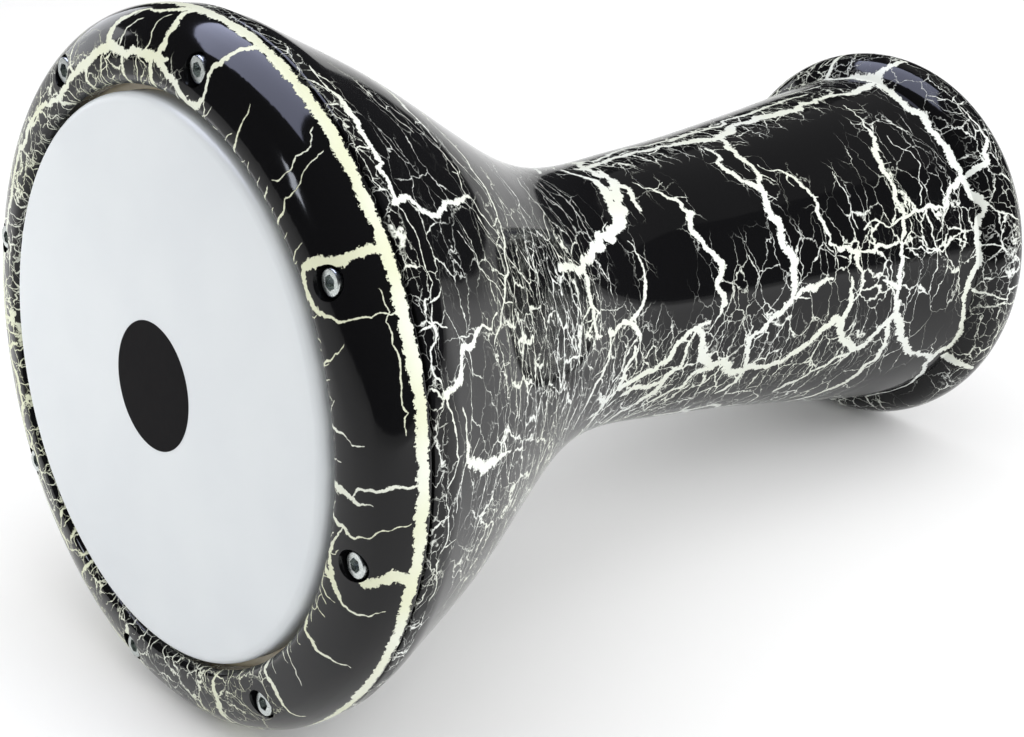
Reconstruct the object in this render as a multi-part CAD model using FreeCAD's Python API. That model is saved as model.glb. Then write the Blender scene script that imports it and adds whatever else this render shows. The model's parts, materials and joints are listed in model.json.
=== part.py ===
"""A cast-aluminium goblet drum, lying on its side on a flat surface.

Every piece is drawn upright in the drum's own frame: the foot's face is at height 0, the playing
surface is at overall_height, and the drum's axis is the Z axis. place_on_side then lays the whole
drum down on its tuning ring and its foot lip, with the head towards -Y. Lengths are millimetres.
"""
import FreeCAD, Part
import math
import os

# ---- driving dimensions ---------------------------------------------------------------------------
overall_height = 435.5       # foot face to playing surface
head_radius = 110.2          # outside of the head's skirt
waist_radius = 59.8          # outside of the shell at its narrowest
waist_height = 214.2         # foot face to the narrowest place
foot_corner_radius = 83.0    # where the tube meets the foot lip
shell_wall = 5.0
mouth_step = 1.0             # the open end inside the foot is this much tighter than the tube
mouth_land = 12.0            # length of the cylindrical stretch inside the foot

# how far the ring moves from its tuned place
tighten_travel = 1.0         # towards the foot
loosen_travel = 3.0          # away from it

# foot lip: a rolled bead round the open end
lip_roll_radius = 16.0
lip_centre_height = 11.0
lip_corner_angle = 71.0      # where the tube meets the bead, in degrees above its widest place

# head
film_thickness = 0.35
film_shoulder = 4.5          # radius of the head's rounded edge
film_skirt = 13.4            # playing surface to the skirt's lower edge
film_clearance = 0.05        # film to bearing edge
patch_radius = 25.5
patch_thickness = 0.2

# hoop that holds the head
hoop_wall = 0.8
hoop_top_drop = 9.5          # playing surface to the top of the hoop's outer wall
hoop_skirt_gap = 0.4         # left below the skirt when the ring is loosened
hoop_inner_clearance = 0.45  # hoop to the shell's collar
hoop_inner_drop = 1.2        # the inner wall is this much lower than the outer one
hoop_ring_clearance = 1.0    # hoop to the ring's bore
resin_width_outside = 5.3    # resin between the skirt and the outer wall
resin_drop = 1.5             # resin surface below the top of the outer wall
slot_clearance = 0.15        # skirt to resin, each side

# tuning ring
ring_width = 30.8            # head's skirt to the outside of the ring
ring_lip_clearance = 2.7     # head's skirt to the ring's inner lip
ring_rise = 1.4              # crest of the ring below the playing surface
ring_height = 22.1           # crest to rear face
ring_lip_round = 3.1         # height of the round at the inner lip
ring_lip_width = 4.6         # inner lip to crest
ring_shoulder_inset = 8.0    # outside of the ring to its shoulder
ring_shoulder_drop = 4.2     # crest to shoulder
ring_crown = 0.9             # bulge between crest and shoulder
ring_side_drop = 19.3        # crest to the start of the straight side
ring_side_bulge = 2.1        # bulge of the round between shoulder and side
ring_rear_round = 1.0
ring_flange_gap = 0.6        # rear face to the shell's flange, fully tightened

# shell flange and collar
flange_inset = 0.7           # the flange is this much smaller than the ring in radius
flange_thickness = 8.0
flange_band = 5.3            # height of the flange's plain outer band
flange_step = 0.9            # step from the band down to the bowl
flange_round = 0.8
collar_relief = 1.9          # collar below the bearing edge, from its outer face
crown_land = 1.5             # straight stretch below the bearing edge's round
rim_bulge = 0.35             # bulge of the bowl's last round, below the flange

# bolts, washers and threaded inserts
bolt_count = 8
bolt_inset = 13.7            # outside of the ring to the bolts' centres
first_bolt_angle = -9.8      # from the top of the drum as it lies, in degrees
bolt_radius = 3.0
bolt_length = 30.0
bolt_pitch = 1.0
bolt_head_radius = 5.0
bolt_head_height = 6.0
bolt_head_round = 0.6
bolt_head_drop = 4.2         # playing surface to the face of the bolt head
bolt_hole_clearance = 0.3
socket_width = 5.0           # across the flats
socket_depth = 3.2
counterbore_clearance = 0.6  # washer to the pocket's wall
washer_overhang = 0.5        # washer beyond the bolt head
washer_thickness = 1.6
washer_bore_clearance = 0.2
insert_wall = 1.45
insert_length = 16.0
insert_bore_clearance = 0.05
insert_seat_clearance = 0.02
insert_chamfer = 0.5
insert_groove_depth = 0.4
insert_groove_width = 1.5
boss_wall = 3.0
blind_hole_extra = 2.3       # hole below the insert and the tightened bolt
boss_floor = 2.5             # metal below the blind hole
slot_floor = 0.2             # resin below the slot for the skirt

cut_margin = 1.0             # how far a cutting tool runs past the face that it opens

# ---- heights and radii that follow ----------------------------------------------------------------
ring_radius = head_radius + ring_width
crest_height = overall_height - ring_rise
ring_rear_height = crest_height - ring_height
flange_top = ring_rear_height - ring_flange_gap - tighten_travel
flange_radius = ring_radius - flange_inset
bowl_rim_radius = flange_radius - flange_step
bowl_rim_height = flange_top - flange_band - flange_step
web_underside = flange_top - flange_thickness

film_inner_radius = head_radius - film_thickness
crown_outer = film_inner_radius - film_clearance
crown_top = overall_height - film_thickness - film_clearance
crown_round = film_shoulder - film_thickness - film_clearance
crown_centre_radius = crown_outer - crown_round
collar_inner = crown_centre_radius - crown_round
collar_outer = crown_outer - collar_relief
crown_bottom = crown_top - crown_round - crown_land

hoop_inner = collar_outer + hoop_inner_clearance
hoop_outer = head_radius + resin_width_outside + hoop_wall
hoop_top = overall_height - hoop_top_drop
slot_bottom = overall_height - film_skirt - loosen_travel - hoop_skirt_gap
hoop_bottom = slot_bottom - slot_floor - hoop_wall
resin_top = hoop_top - resin_drop
ring_bore = hoop_outer + hoop_ring_clearance
ring_lip_inner = head_radius + ring_lip_clearance

bolt_circle_radius = ring_radius - bolt_inset
bolt_face_height = overall_height - bolt_head_drop
washer_top = bolt_face_height - bolt_head_height
washer_bottom = washer_top - washer_thickness
washer_radius = bolt_head_radius + washer_overhang
counterbore_radius = washer_radius + counterbore_clearance
bolt_hole_radius = bolt_radius + bolt_hole_clearance
bolt_tip_height = washer_top - bolt_length
insert_radius = bolt_radius + insert_bore_clearance + insert_wall
insert_bottom = flange_top - insert_length
blind_hole_bottom = min(insert_bottom, bolt_tip_height - tighten_travel) - blind_hole_extra
boss_bottom = blind_hole_bottom - boss_floor
boss_radius = insert_radius + boss_wall

mouth_radius = foot_corner_radius - shell_wall - mouth_step

# the lip's bead passes through the corner at the end of the tube
lip_centre_radius = foot_corner_radius - lip_roll_radius * math.cos(math.radians(lip_corner_angle))
foot_corner_height = lip_centre_height + lip_roll_radius * math.sin(math.radians(lip_corner_angle))
foot_face_radius = lip_centre_radius + math.sqrt(lip_roll_radius ** 2 - lip_centre_height ** 2)

# outline of the shell, as shares of the way from one end of a stretch to the other:
# (share of the height, share of the radius)
bowl_shape = ((0.0, 0.0), (0.152, 0.021), (0.304, 0.133), (0.455, 0.322),
              (0.607, 0.542), (0.737, 0.721), (0.867, 0.869), (0.955, 0.967))
tube_shape = ((0.0, 0.0), (0.153, 0.106), (0.306, 0.215), (0.482, 0.384),
              (0.657, 0.582), (0.81, 0.767), (1.0, 1.0))


# ---- drawing helpers ------------------------------------------------------------------------------
def at(radius, height):
    """A point of a section, which lies in the XZ plane."""
    return FreeCAD.Vector(radius, 0, height)


def line(start, end):
    return Part.LineSegment(start, end).toShape()


def arc(start, middle, end):
    return Part.Arc(start, middle, end).toShape()


def bulged(start, end, bulge):
    """An arc between two points that stands bulge away from the straight line, on its left."""
    along = end - start
    side = at(-along.z, along.x)
    side.normalize()
    return arc(start, (start + end) * 0.5 + side * bulge, end)


def round_about(centre, radius, start_degrees, end_degrees):
    """An arc of a section about centre, from one angle to the other."""
    points = []
    for angle in (start_degrees, (start_degrees + end_degrees) / 2, end_degrees):
        turn = math.radians(angle)
        points.append(centre + at(radius * math.cos(turn), radius * math.sin(turn)))
    return arc(*points)


def revolve(edges):
    """A solid of revolution about the drum's axis, from the edges of a closed section."""
    face = Part.Face(Part.Wire(Part.__sortEdges__(edges)))
    return face.revolve(at(0, 0), FreeCAD.Vector(0, 0, 1), 360)


def polygon(points):
    """Straight edges round a closed section."""
    edges = []
    for here, there in zip(points, points[1:] + points[:1]):
        edges.append(line(here, there))
    return edges


def tube_solid(outer, inner, bottom, top):
    """A plain upright sleeve on the drum's axis."""
    return revolve(polygon([at(inner, bottom), at(outer, bottom), at(outer, top), at(inner, top)]))


def cylinder(radius, bottom, top, centre=FreeCAD.Vector(0, 0, 0)):
    base = FreeCAD.Vector(centre.x, centre.y, bottom)
    return Part.makeCylinder(radius, top - bottom, base, FreeCAD.Vector(0, 0, 1))


def on_bolt_circle(index):
    """The centre of bolt number index, counted round the head from the one nearest the top."""
    turn = math.radians(first_bolt_angle + index * 360.0 / bolt_count)
    return FreeCAD.Vector(bolt_circle_radius * math.cos(turn), bolt_circle_radius * math.sin(turn), 0)


def stretch(shape, low, high):
    """The points of a stretch of the outline, from its shares and its two ends."""
    points = []
    for height_share, radius_share in shape:
        radius = low.x + (high.x - low.x) * radius_share
        height = low.z + (high.z - low.z) * height_share
        points.append(at(radius, height))
    return points


def smooth(points):
    curve = Part.BSplineCurve()
    curve.interpolate(points)
    return curve


def inside_of(curve, distance):
    """The curve that lies distance inside another one, towards the drum's axis."""
    points = []
    samples = curve.NbPoles * 2
    for step in range(samples + 1):
        share = curve.FirstParameter + (curve.LastParameter - curve.FirstParameter) * step / samples
        along = curve.tangent(share)[0]
        points.append(curve.value(share) + at(-along.z, along.x) * distance)
    return smooth(points)


# ---- the pieces -----------------------------------------------------------------------------------
def shell_outline():
    """The shell's outside, from the corner above the foot lip up to the bowl's rim."""
    waist = at(waist_radius, waist_height)
    bowl = stretch(bowl_shape, waist, at(bowl_rim_radius, bowl_rim_height))
    tube = stretch(tube_shape, waist, at(foot_corner_radius, foot_corner_height))
    return smooth(tube[:0:-1] + bowl)


def foot_lip_edges(inner_corner):
    """The section's edges from the tube's outer corner round the lip to the tube's inner end."""
    centre = at(lip_centre_radius, lip_centre_height)
    corner = at(foot_corner_radius, foot_corner_height)
    widest = centre + at(lip_roll_radius, 0)
    face_edge = at(foot_face_radius, 0)
    mouth_edge = at(mouth_radius, 0)
    land_end = at(mouth_radius, mouth_land)
    return [arc(corner, widest, face_edge), line(face_edge, mouth_edge),
            line(mouth_edge, land_end), line(land_end, inner_corner)]


def flange_edges(bowl_end, inner_end):
    """The section's edges from the bowl's rim over the flange, the collar and the bearing edge."""
    rim = at(bowl_rim_radius, bowl_rim_height)
    band_low = at(flange_radius, bowl_rim_height + flange_step)
    band_high = at(flange_radius, flange_top - flange_round)
    round_centre = at(flange_radius - flange_round, flange_top - flange_round)
    flange_edge = at(flange_radius - flange_round, flange_top)
    collar_foot = at(collar_outer, flange_top)
    collar_head = at(collar_outer, crown_bottom - collar_relief / 2)
    crown_low = at(crown_outer, crown_bottom)
    crown_start = at(crown_outer, crown_top - crown_round)
    crown_centre = at(crown_centre_radius, crown_top - crown_round)
    crown_inner = at(collar_inner, crown_top - crown_round)
    web_corner = at(collar_inner, web_underside)
    web_end = at(inner_end.x, web_underside)
    return [bulged(bowl_end, rim, -rim_bulge), line(rim, band_low), line(band_low, band_high),
            round_about(round_centre, flange_round, 0, 90), line(flange_edge, collar_foot),
            line(collar_foot, collar_head), line(collar_head, crown_low), line(crown_low, crown_start),
            round_about(crown_centre, crown_round, 0, 180), line(crown_inner, web_corner),
            line(web_corner, web_end), line(web_end, inner_end)]


def bosses(outline):
    """The bosses under the flange, trimmed to the outside of the bowl."""
    low = outline.value(outline.FirstParameter)
    rim = outline.value(outline.LastParameter)
    ends = [at(0, rim.z), at(0, low.z)]
    outside = revolve([outline.toShape(), line(rim, ends[0]), line(*ends), line(ends[1], low)])
    outside = outside.fuse(cylinder(rim.x, rim.z, web_underside + cut_margin))
    trimmed = []
    for index in range(bolt_count):
        boss = cylinder(boss_radius, boss_bottom, web_underside + cut_margin, on_bolt_circle(index))
        trimmed.append(boss.common(outside))
    return trimmed


def shell():
    """The one-piece casting: foot lip, tube, bowl, flange with its bosses, collar and bearing edge."""
    outline = shell_outline()
    inside = inside_of(outline, shell_wall)
    edges = [outline.toShape(), inside.toShape()]
    edges += flange_edges(outline.value(outline.LastParameter), inside.value(inside.LastParameter))
    edges += foot_lip_edges(inside.value(inside.FirstParameter))
    body = revolve(edges).multiFuse(bosses(outline))
    seat_radius = insert_radius + insert_seat_clearance
    for index in range(bolt_count):
        centre = on_bolt_circle(index)
        seat = cylinder(seat_radius, insert_bottom, flange_top + cut_margin, centre)
        below = cylinder(bolt_hole_radius, blind_hole_bottom, insert_bottom + cut_margin, centre)
        body = body.cut(seat.fuse(below))
    return body


def tuning_ring():
    """The cast ring that pulls the hoop down, with a counterbored hole for each bolt."""
    lip_under = at(ring_lip_inner, hoop_top)
    lip_edge = at(ring_lip_inner, crest_height - ring_lip_round)
    crest = at(ring_lip_inner + ring_lip_width, crest_height)
    shoulder = at(ring_radius - ring_shoulder_inset, crest_height - ring_shoulder_drop)
    side = at(ring_radius, crest_height - ring_side_drop)
    round_centre = at(ring_radius - ring_rear_round, ring_rear_height + ring_rear_round)
    round_start = round_centre + at(ring_rear_round, 0)
    rear_edge = round_centre - at(0, ring_rear_round)
    bore_rear = at(ring_bore, ring_rear_height)
    bore_end = at(ring_bore, hoop_top)
    ring = revolve([line(lip_under, lip_edge), bulged(lip_edge, crest, ring_crown),
                    bulged(crest, shoulder, ring_crown), bulged(shoulder, side, ring_side_bulge),
                    line(side, round_start), round_about(round_centre, ring_rear_round, 0, -90),
                    line(rear_edge, bore_rear), line(bore_rear, bore_end), line(bore_end, lip_under)])
    for index in range(bolt_count):
        centre = on_bolt_circle(index)
        pocket = cylinder(counterbore_radius, washer_bottom, overall_height + cut_margin, centre)
        hole = cylinder(bolt_hole_radius, ring_rear_height - cut_margin, washer_bottom + cut_margin, centre)
        ring = ring.cut(pocket.fuse(hole))
    return ring


def head_film():
    """The plastic head: a flat disc with a rounded shoulder and a straight skirt."""
    inner_round = film_shoulder - film_thickness
    centre = at(head_radius - film_shoulder, overall_height - film_shoulder)
    skirt_bottom = overall_height - film_skirt
    top = at(0, overall_height)
    under = at(0, overall_height - film_thickness)
    edges = [line(top, centre + at(0, film_shoulder)), round_about(centre, film_shoulder, 90, 0),
             line(centre + at(film_shoulder, 0), at(head_radius, skirt_bottom)),
             line(at(head_radius, skirt_bottom), at(film_inner_radius, skirt_bottom)),
             line(at(film_inner_radius, skirt_bottom), centre + at(inner_round, 0)),
             round_about(centre, inner_round, 0, 90), line(centre + at(0, inner_round), under),
             line(under, top)]
    return revolve(edges)


def centre_patch():
    """A plain round patch on the middle of the head."""
    return cylinder(patch_radius, overall_height, overall_height + patch_thickness)


def head_hoop():
    """The pressed channel, open towards the head, that grips the head's skirt."""
    inner_top = hoop_top - hoop_inner_drop
    return revolve(polygon([at(hoop_inner, hoop_bottom), at(hoop_outer, hoop_bottom),
                            at(hoop_outer, hoop_top), at(hoop_outer - hoop_wall, hoop_top),
                            at(hoop_outer - hoop_wall, hoop_bottom + hoop_wall),
                            at(hoop_inner + hoop_wall, hoop_bottom + hoop_wall),
                            at(hoop_inner + hoop_wall, inner_top), at(hoop_inner, inner_top)]))


def hoop_resin():
    """The resin that fills the channel round the skirt."""
    fill = tube_solid(hoop_outer - hoop_wall, hoop_inner + hoop_wall, hoop_bottom + hoop_wall, resin_top)
    slot = tube_solid(head_radius + slot_clearance, film_inner_radius - slot_clearance,
                      slot_bottom, resin_top + cut_margin)
    return fill.cut(slot)


def washer(centre):
    """The plain washer under a bolt's head."""
    bore_radius = bolt_radius + washer_bore_clearance
    bore = cylinder(bore_radius, washer_bottom - cut_margin, washer_top + cut_margin, centre)
    return cylinder(washer_radius, washer_bottom, washer_top, centre).cut(bore)


def hexagon(centre, width, bottom, top):
    """An upright hexagonal prism, width across its flats."""
    corner_radius = width / math.sqrt(3.0)
    points = []
    for corner in range(6):
        turn = math.radians(60.0 * corner)
        offset = FreeCAD.Vector(corner_radius * math.cos(turn), corner_radius * math.sin(turn), bottom)
        points.append(FreeCAD.Vector(centre.x, centre.y, 0) + offset)
    face = Part.Face(Part.makePolygon(points + points[:1]))
    return face.extrude(FreeCAD.Vector(0, 0, top - bottom))


def tuning_bolt(centre):
    """A hexagon-socket cap screw whose head is sunk in the ring."""
    head = cylinder(bolt_head_radius, washer_top, bolt_face_height, centre)
    rims = [edge for edge in head.Edges if abs(edge.CenterOfMass.z - bolt_face_height) < 1e-6]
    head = head.makeFillet(bolt_head_round, rims)
    shank = cylinder(bolt_radius, bolt_tip_height, washer_top + bolt_head_round, centre)
    tips = [edge for edge in shank.Edges if abs(edge.CenterOfMass.z - bolt_tip_height) < 1e-6]
    shank = shank.makeChamfer(bolt_pitch / 2, tips)
    socket_floor = bolt_face_height - socket_depth
    socket = hexagon(centre, socket_width, socket_floor, bolt_face_height + cut_margin)
    return head.fuse(shank).removeSplitter().cut(socket)


def threaded_insert(centre):
    """The metal bush with the bolt's thread, held in a boss of the flange."""
    body = cylinder(insert_radius, insert_bottom, flange_top, centre)
    ends = [edge for edge in body.Edges if edge.Closed]
    body = body.makeChamfer(insert_chamfer, ends)
    for third in (1, 2):
        middle = insert_bottom + insert_length * third / 3
        low = middle - insert_groove_width / 2
        high = middle + insert_groove_width / 2
        band = cylinder(insert_radius + cut_margin, low, high, centre)
        core = cylinder(insert_radius - insert_groove_depth, low, high, centre)
        body = body.cut(band.cut(core))
    bore_radius = bolt_radius + insert_bore_clearance
    return body.cut(cylinder(bore_radius, insert_bottom - cut_margin, flange_top + cut_margin, centre))


def upright_pieces():
    """Every piece in the drum's own frame, by name."""
    pieces = {
        "shell": shell(),
        "tuning_ring": tuning_ring(),
        "head_film": head_film(),
        "centre_patch": centre_patch(),
        "head_hoop": head_hoop(),
        "hoop_resin": hoop_resin(),
    }
    for index in range(bolt_count):
        centre = on_bolt_circle(index)
        pieces["tuning_bolt_%d" % (index + 1)] = tuning_bolt(centre)
        pieces["washer_%d" % (index + 1)] = washer(centre)
        pieces["threaded_insert_%d" % (index + 1)] = threaded_insert(centre)
    return pieces


# ---- laying the drum down -------------------------------------------------------------------------
def lying_tilt():
    """The angle, in radians, by which the head end of the axis is raised.

    The ring's rear round and the foot's lip both touch the surface, so their lowest points are level.
    """
    radius_step = (ring_radius - ring_rear_round) - lip_centre_radius
    height_step = (ring_rear_height + ring_rear_round) - lip_centre_height
    reach = math.hypot(radius_step, height_step)
    return math.acos((lip_roll_radius - ring_rear_round) / reach) - math.atan2(height_step, radius_step)


def place_on_side(pieces):
    """The placement that lays the drum down: up is the drum's +X, and the head faces -Y."""
    tilt = lying_tilt()
    sine = math.sin(tilt)
    cosine = math.cos(tilt)
    rise = cosine * lip_centre_radius - sine * lip_centre_height + lip_roll_radius
    turn = FreeCAD.Matrix(0, -1, 0, 0,
                          sine, 0, -cosine, 0,
                          cosine, 0, sine, rise,
                          0, 0, 0, 1)
    lows = []
    highs = []
    for name in ("shell", "tuning_ring", "centre_patch"):
        laid = pieces[name].copy()
        laid.Placement = FreeCAD.Placement(turn)
        box = laid.optimalBoundingBox(False, False)
        lows.append(box.YMin)
        highs.append(box.YMax)
    turn.A24 = -(min(lows) + max(highs)) / 2
    print("tilt %.5f degrees, shift in Y %.4f, rise %.4f" % (math.degrees(tilt), turn.A24, rise))
    return FreeCAD.Placement(turn)


def main():
    os.makedirs("parts", exist_ok=True)
    pieces = upright_pieces()
    placement = place_on_side(pieces)
    for name, shape in pieces.items():
        shape.Placement = placement.multiply(shape.Placement)
        shape.exportStep("parts/%s.step" % name)
        print("%-20s %9.0f mm3  solids %d  valid %s"
              % (name, shape.Volume, len(shape.Solids), shape.isValid()))


main()
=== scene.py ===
# %% [markdown]
# # A goblet drum lying on its side
#
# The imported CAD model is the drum's frame: it says where every piece is and how big it is. This
# lesson dresses that frame. The cast shell and the tuning ring are turned again as smooth meshes,
# the screws and washers come from small node trees, and procedural materials give the crackle
# lacquer, the milky head and the metals.

# %% Load the frame
import json
import math
import bmesh
import bpy
import numpy as np
from mathutils import Matrix, Vector
from mathutils.kdtree import KDTree


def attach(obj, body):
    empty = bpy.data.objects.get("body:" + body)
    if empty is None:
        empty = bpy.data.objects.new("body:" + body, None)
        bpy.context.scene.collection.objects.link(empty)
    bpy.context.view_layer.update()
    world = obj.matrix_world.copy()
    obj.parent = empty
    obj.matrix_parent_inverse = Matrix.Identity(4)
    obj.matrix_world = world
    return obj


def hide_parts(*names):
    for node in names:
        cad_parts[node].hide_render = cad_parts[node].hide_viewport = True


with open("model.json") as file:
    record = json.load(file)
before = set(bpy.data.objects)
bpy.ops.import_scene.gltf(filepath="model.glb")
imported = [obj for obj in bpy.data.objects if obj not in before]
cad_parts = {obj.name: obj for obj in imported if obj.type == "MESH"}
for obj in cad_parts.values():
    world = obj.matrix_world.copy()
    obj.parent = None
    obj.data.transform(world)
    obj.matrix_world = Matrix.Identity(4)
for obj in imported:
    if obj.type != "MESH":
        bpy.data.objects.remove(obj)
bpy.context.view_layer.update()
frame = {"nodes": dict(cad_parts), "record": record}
scene = bpy.context.scene
MM = 0.001

# %% [markdown]
# ## Where the drum's own axes are
#
# The drum lies on the edge of its ring and on its foot, so its axis is tilted a little. All its
# round pieces are easier to describe standing up, with the foot's centre at zero and the head on
# top. One matrix then lays the finished mesh down. The record names the foot's bore, which lies on
# the axis, and the direction in which it points.

# %% The drum's frame
FOOT_BORE_DEPTH = 6.0      # the named point lies this far inside the foot's face, mm


def drum_matrix():
    """The matrix that takes a mesh from the upright drum's axes, in metres, to where the drum lies."""
    bore = next(m for m in frame["record"]["mounts"] if m["name"] == "foot_bore")
    to_head = -Vector(bore["axis"]).normalized()
    foot_centre = Vector(bore["pos_m"]) - to_head * FOOT_BORE_DEPTH * MM
    up = Vector((0, 0, 1))
    up = (up - to_head * up.dot(to_head)).normalized()
    sideways = to_head.cross(up)
    return Matrix.Translation(foot_centre) @ Matrix((up, sideways, to_head)).transposed().to_4x4()


lay_down = drum_matrix()
print("foot centre", [round(v, 4) for v in lay_down.translation], "axis",
      [round(v, 4) for v in lay_down.col[2][:3]])

# %% [markdown]
# ## Small helpers for node trees
#
# Geometry Nodes trees and materials are both drawn with the same few lines: add a node, set its
# plain values, and link what comes from other nodes. A tree is run once on a seed object, and its
# result is kept as a plain mesh, so nothing stays live in the finished scene.

# %% Adding nodes and running a tree
def add(tree, kind, values=None, **settings):
    """A node of this kind; values holds numbers or the sockets of other nodes, by name or place."""
    node = tree.nodes.new(kind)
    for name, value in settings.items():
        setattr(node, name, value)
    for key, value in (values or {}).items():
        socket = node.inputs[key]
        if isinstance(value, bpy.types.NodeSocket):
            tree.links.new(value, socket)
        else:
            socket.default_value = value
    return node


def new_tree(title, **inputs):
    """A geometry tree with these named inputs; returns it with its input and output nodes."""
    tree = bpy.data.node_groups.new(title, "GeometryNodeTree")
    for name, kind in inputs.items():
        tree.interface.new_socket(name.replace("_", " "), in_out="INPUT", socket_type="NodeSocket" + kind)
    tree.interface.new_socket("Geometry", in_out="OUTPUT", socket_type="NodeSocketGeometry")
    return tree, add(tree, "NodeGroupInput").outputs, add(tree, "NodeGroupOutput").inputs


def finish_tree(tree, geometry, finish, output):
    """The two nodes that every tree ends in."""
    solid = add(tree, "GeometryNodeRealizeInstances", {0: geometry}).outputs[0]
    dressed = add(tree, "GeometryNodeSetMaterial", {"Geometry": solid, "Material": finish})
    tree.links.new(dressed.outputs[0], output)


def grow(name, tree, **values):
    """Runs a tree with these inputs and keeps the result as a plain mesh object."""
    piece = bpy.data.objects.new(name, bpy.data.meshes.new(name + "_seed"))
    scene.collection.objects.link(piece)
    recipe = piece.modifiers.new("Recipe", "NODES")
    recipe.node_group = tree
    for socket in tree.interface.items_tree:
        word = socket.name.replace(" ", "_")
        if socket.in_out == "INPUT" and word in values:
            recipe[socket.identifier] = values[word]
    bpy.context.view_layer.update()
    evaluated = piece.evaluated_get(bpy.context.evaluated_depsgraph_get())
    mesh = bpy.data.meshes.new_from_object(evaluated)
    piece.modifiers.remove(recipe)
    piece.data = mesh
    mesh.name = name
    return piece


# %% [markdown]
# ## Sections of the turned pieces
#
# A turned piece is one closed section swung round the axis. The section is a list of
# (radius, height) points in millimetres, made of straight runs, arcs and one long spline. Points
# sit close together where the surface shows and far apart where it doesn't.

# %% Runs, arcs and bulges
def straight(start, end, step):
    """Points from start up to but not including end, no further than step apart."""
    start, end = np.array(start, float), np.array(end, float)
    count = max(1, math.ceil(np.linalg.norm(end - start) / step))
    return [tuple(start + (end - start) * i / count) for i in range(count)]


def round_about(centre, radius, start_degrees, end_degrees, step):
    """Points along an arc about centre."""
    turn = math.radians(end_degrees - start_degrees)
    count = max(3, math.ceil(abs(turn) * radius / step))
    angles = [math.radians(start_degrees) + turn * i / count for i in range(count)]
    return [(centre[0] + radius * math.cos(a), centre[1] + radius * math.sin(a)) for a in angles]


def bulged(start, end, bulge, step):
    """Points along an arc that stands bulge away from the straight line, on its left."""
    start, end = np.array(start, float), np.array(end, float)
    chord = end - start
    length = np.linalg.norm(chord)
    left = np.array([-chord[1], chord[0]]) / length
    radius = (length ** 2 / 4 + bulge ** 2) / (2 * abs(bulge))
    centre = (start + end) / 2 - left * math.copysign(radius - abs(bulge), bulge)
    first = math.degrees(math.atan2(*(start - centre)[::-1]))
    last = math.degrees(math.atan2(*(end - centre)[::-1]))
    swing = (last - first + 180) % 360 - 180
    return round_about(centre, radius, first, first + swing, step)


# %% [markdown]
# The shell's outside is one smooth curve from the foot to the rim. It is a clamped cubic spline
# through a few shares of the way between waist, rim and foot, solved here with numpy, because the
# gloss of the lacquer would show every flat of a coarser curve.

# %% The shell's sizes and its outline
HEIGHT, HEAD_RADIUS = 435.5, 110.2
WAIST = (59.8, 214.2)
RIM = (139.4, 404.2)
SHELL_WALL = 5.0
LIP_ROLL, LIP_HEIGHT, LIP_CORNER_ANGLE, FOOT_CORNER_RADIUS = 16.0, 11.0, 71.0, 83.0
lip_turn = math.radians(LIP_CORNER_ANGLE)
LIP_CENTRE = (FOOT_CORNER_RADIUS - LIP_ROLL * math.cos(lip_turn), LIP_HEIGHT)
FOOT_CORNER = (FOOT_CORNER_RADIUS, LIP_HEIGHT + LIP_ROLL * math.sin(lip_turn))
FOOT_FACE_RADIUS, MOUTH_RADIUS, MOUTH_LAND = 89.41, 77.0, 12.0
FLANGE_RADIUS, FLANGE_TOP = 140.3, 410.4
COLLAR_OUTER, COLLAR_INNER, CROWN_OUTER, CROWN_TOP, CROWN_BOTTOM = 107.9, 101.6, 109.8, 435.1, 429.5
WEB_UNDERSIDE = 402.4
RIM_BULGE = 0.35
BOWL_SHARES = ((0, 0), (.152, .021), (.304, .133), (.455, .322), (.607, .542), (.737, .721),
               (.867, .869), (.955, .967))
TUBE_SHARES = ((0, 0), (.153, .106), (.306, .215), (.482, .384), (.657, .582), (.81, .767), (1, 1))


def stretch(shares, low, high):
    return [(low[0] + (high[0] - low[0]) * r, low[1] + (high[1] - low[1]) * h) for h, r in shares]


def spline(points, step):
    """Points along the clamped cubic spline through these, and the direction at each."""
    points = np.array(points, float)
    gaps = np.linalg.norm(np.diff(points, axis=0), axis=1)
    at = np.concatenate([[0], np.cumsum(gaps)])
    count = len(points)

    def end_slope(ids):
        local = np.vander(at[ids] - at[ids[0]], 4)
        return np.linalg.solve(local, points[ids])[2]
    rows = np.zeros((count, count))
    right = np.zeros((count, 2))
    rows[0, 0] = rows[-1, -1] = 1
    right[0] = end_slope([0, 1, 2, 3])
    right[-1] = end_slope([-1, -2, -3, -4])
    for i in range(1, count - 1):
        before, after = gaps[i - 1], gaps[i]
        rows[i, i - 1:i + 2] = after, 2 * (before + after), before
        ahead, behind = points[i + 1] - points[i], points[i] - points[i - 1]
        right[i] = 3 * (ahead / after * before + behind / before * after)
    slope = np.linalg.solve(rows, right)
    where = np.linspace(0, at[-1], math.ceil(at[-1] / step) + 1)
    span = np.clip(np.searchsorted(at, where, side="right") - 1, 0, count - 2)
    gap = gaps[span][:, None]
    t = (where - at[span])[:, None] / gap
    a, b, da, db = points[span], points[span + 1], slope[span] * gap, slope[span + 1] * gap
    curve = ((2 * t ** 3 - 3 * t ** 2 + 1) * a + (t ** 3 - 2 * t ** 2 + t) * da
             + (3 * t ** 2 - 2 * t ** 3) * b + (t ** 3 - t ** 2) * db)
    heading = ((6 * t ** 2 - 6 * t) * a + (3 * t ** 2 - 4 * t + 1) * da
               + (6 * t - 6 * t ** 2) * b + (3 * t ** 2 - 2 * t) * db)
    return curve, heading / np.linalg.norm(heading, axis=1)[:, None]


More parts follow.
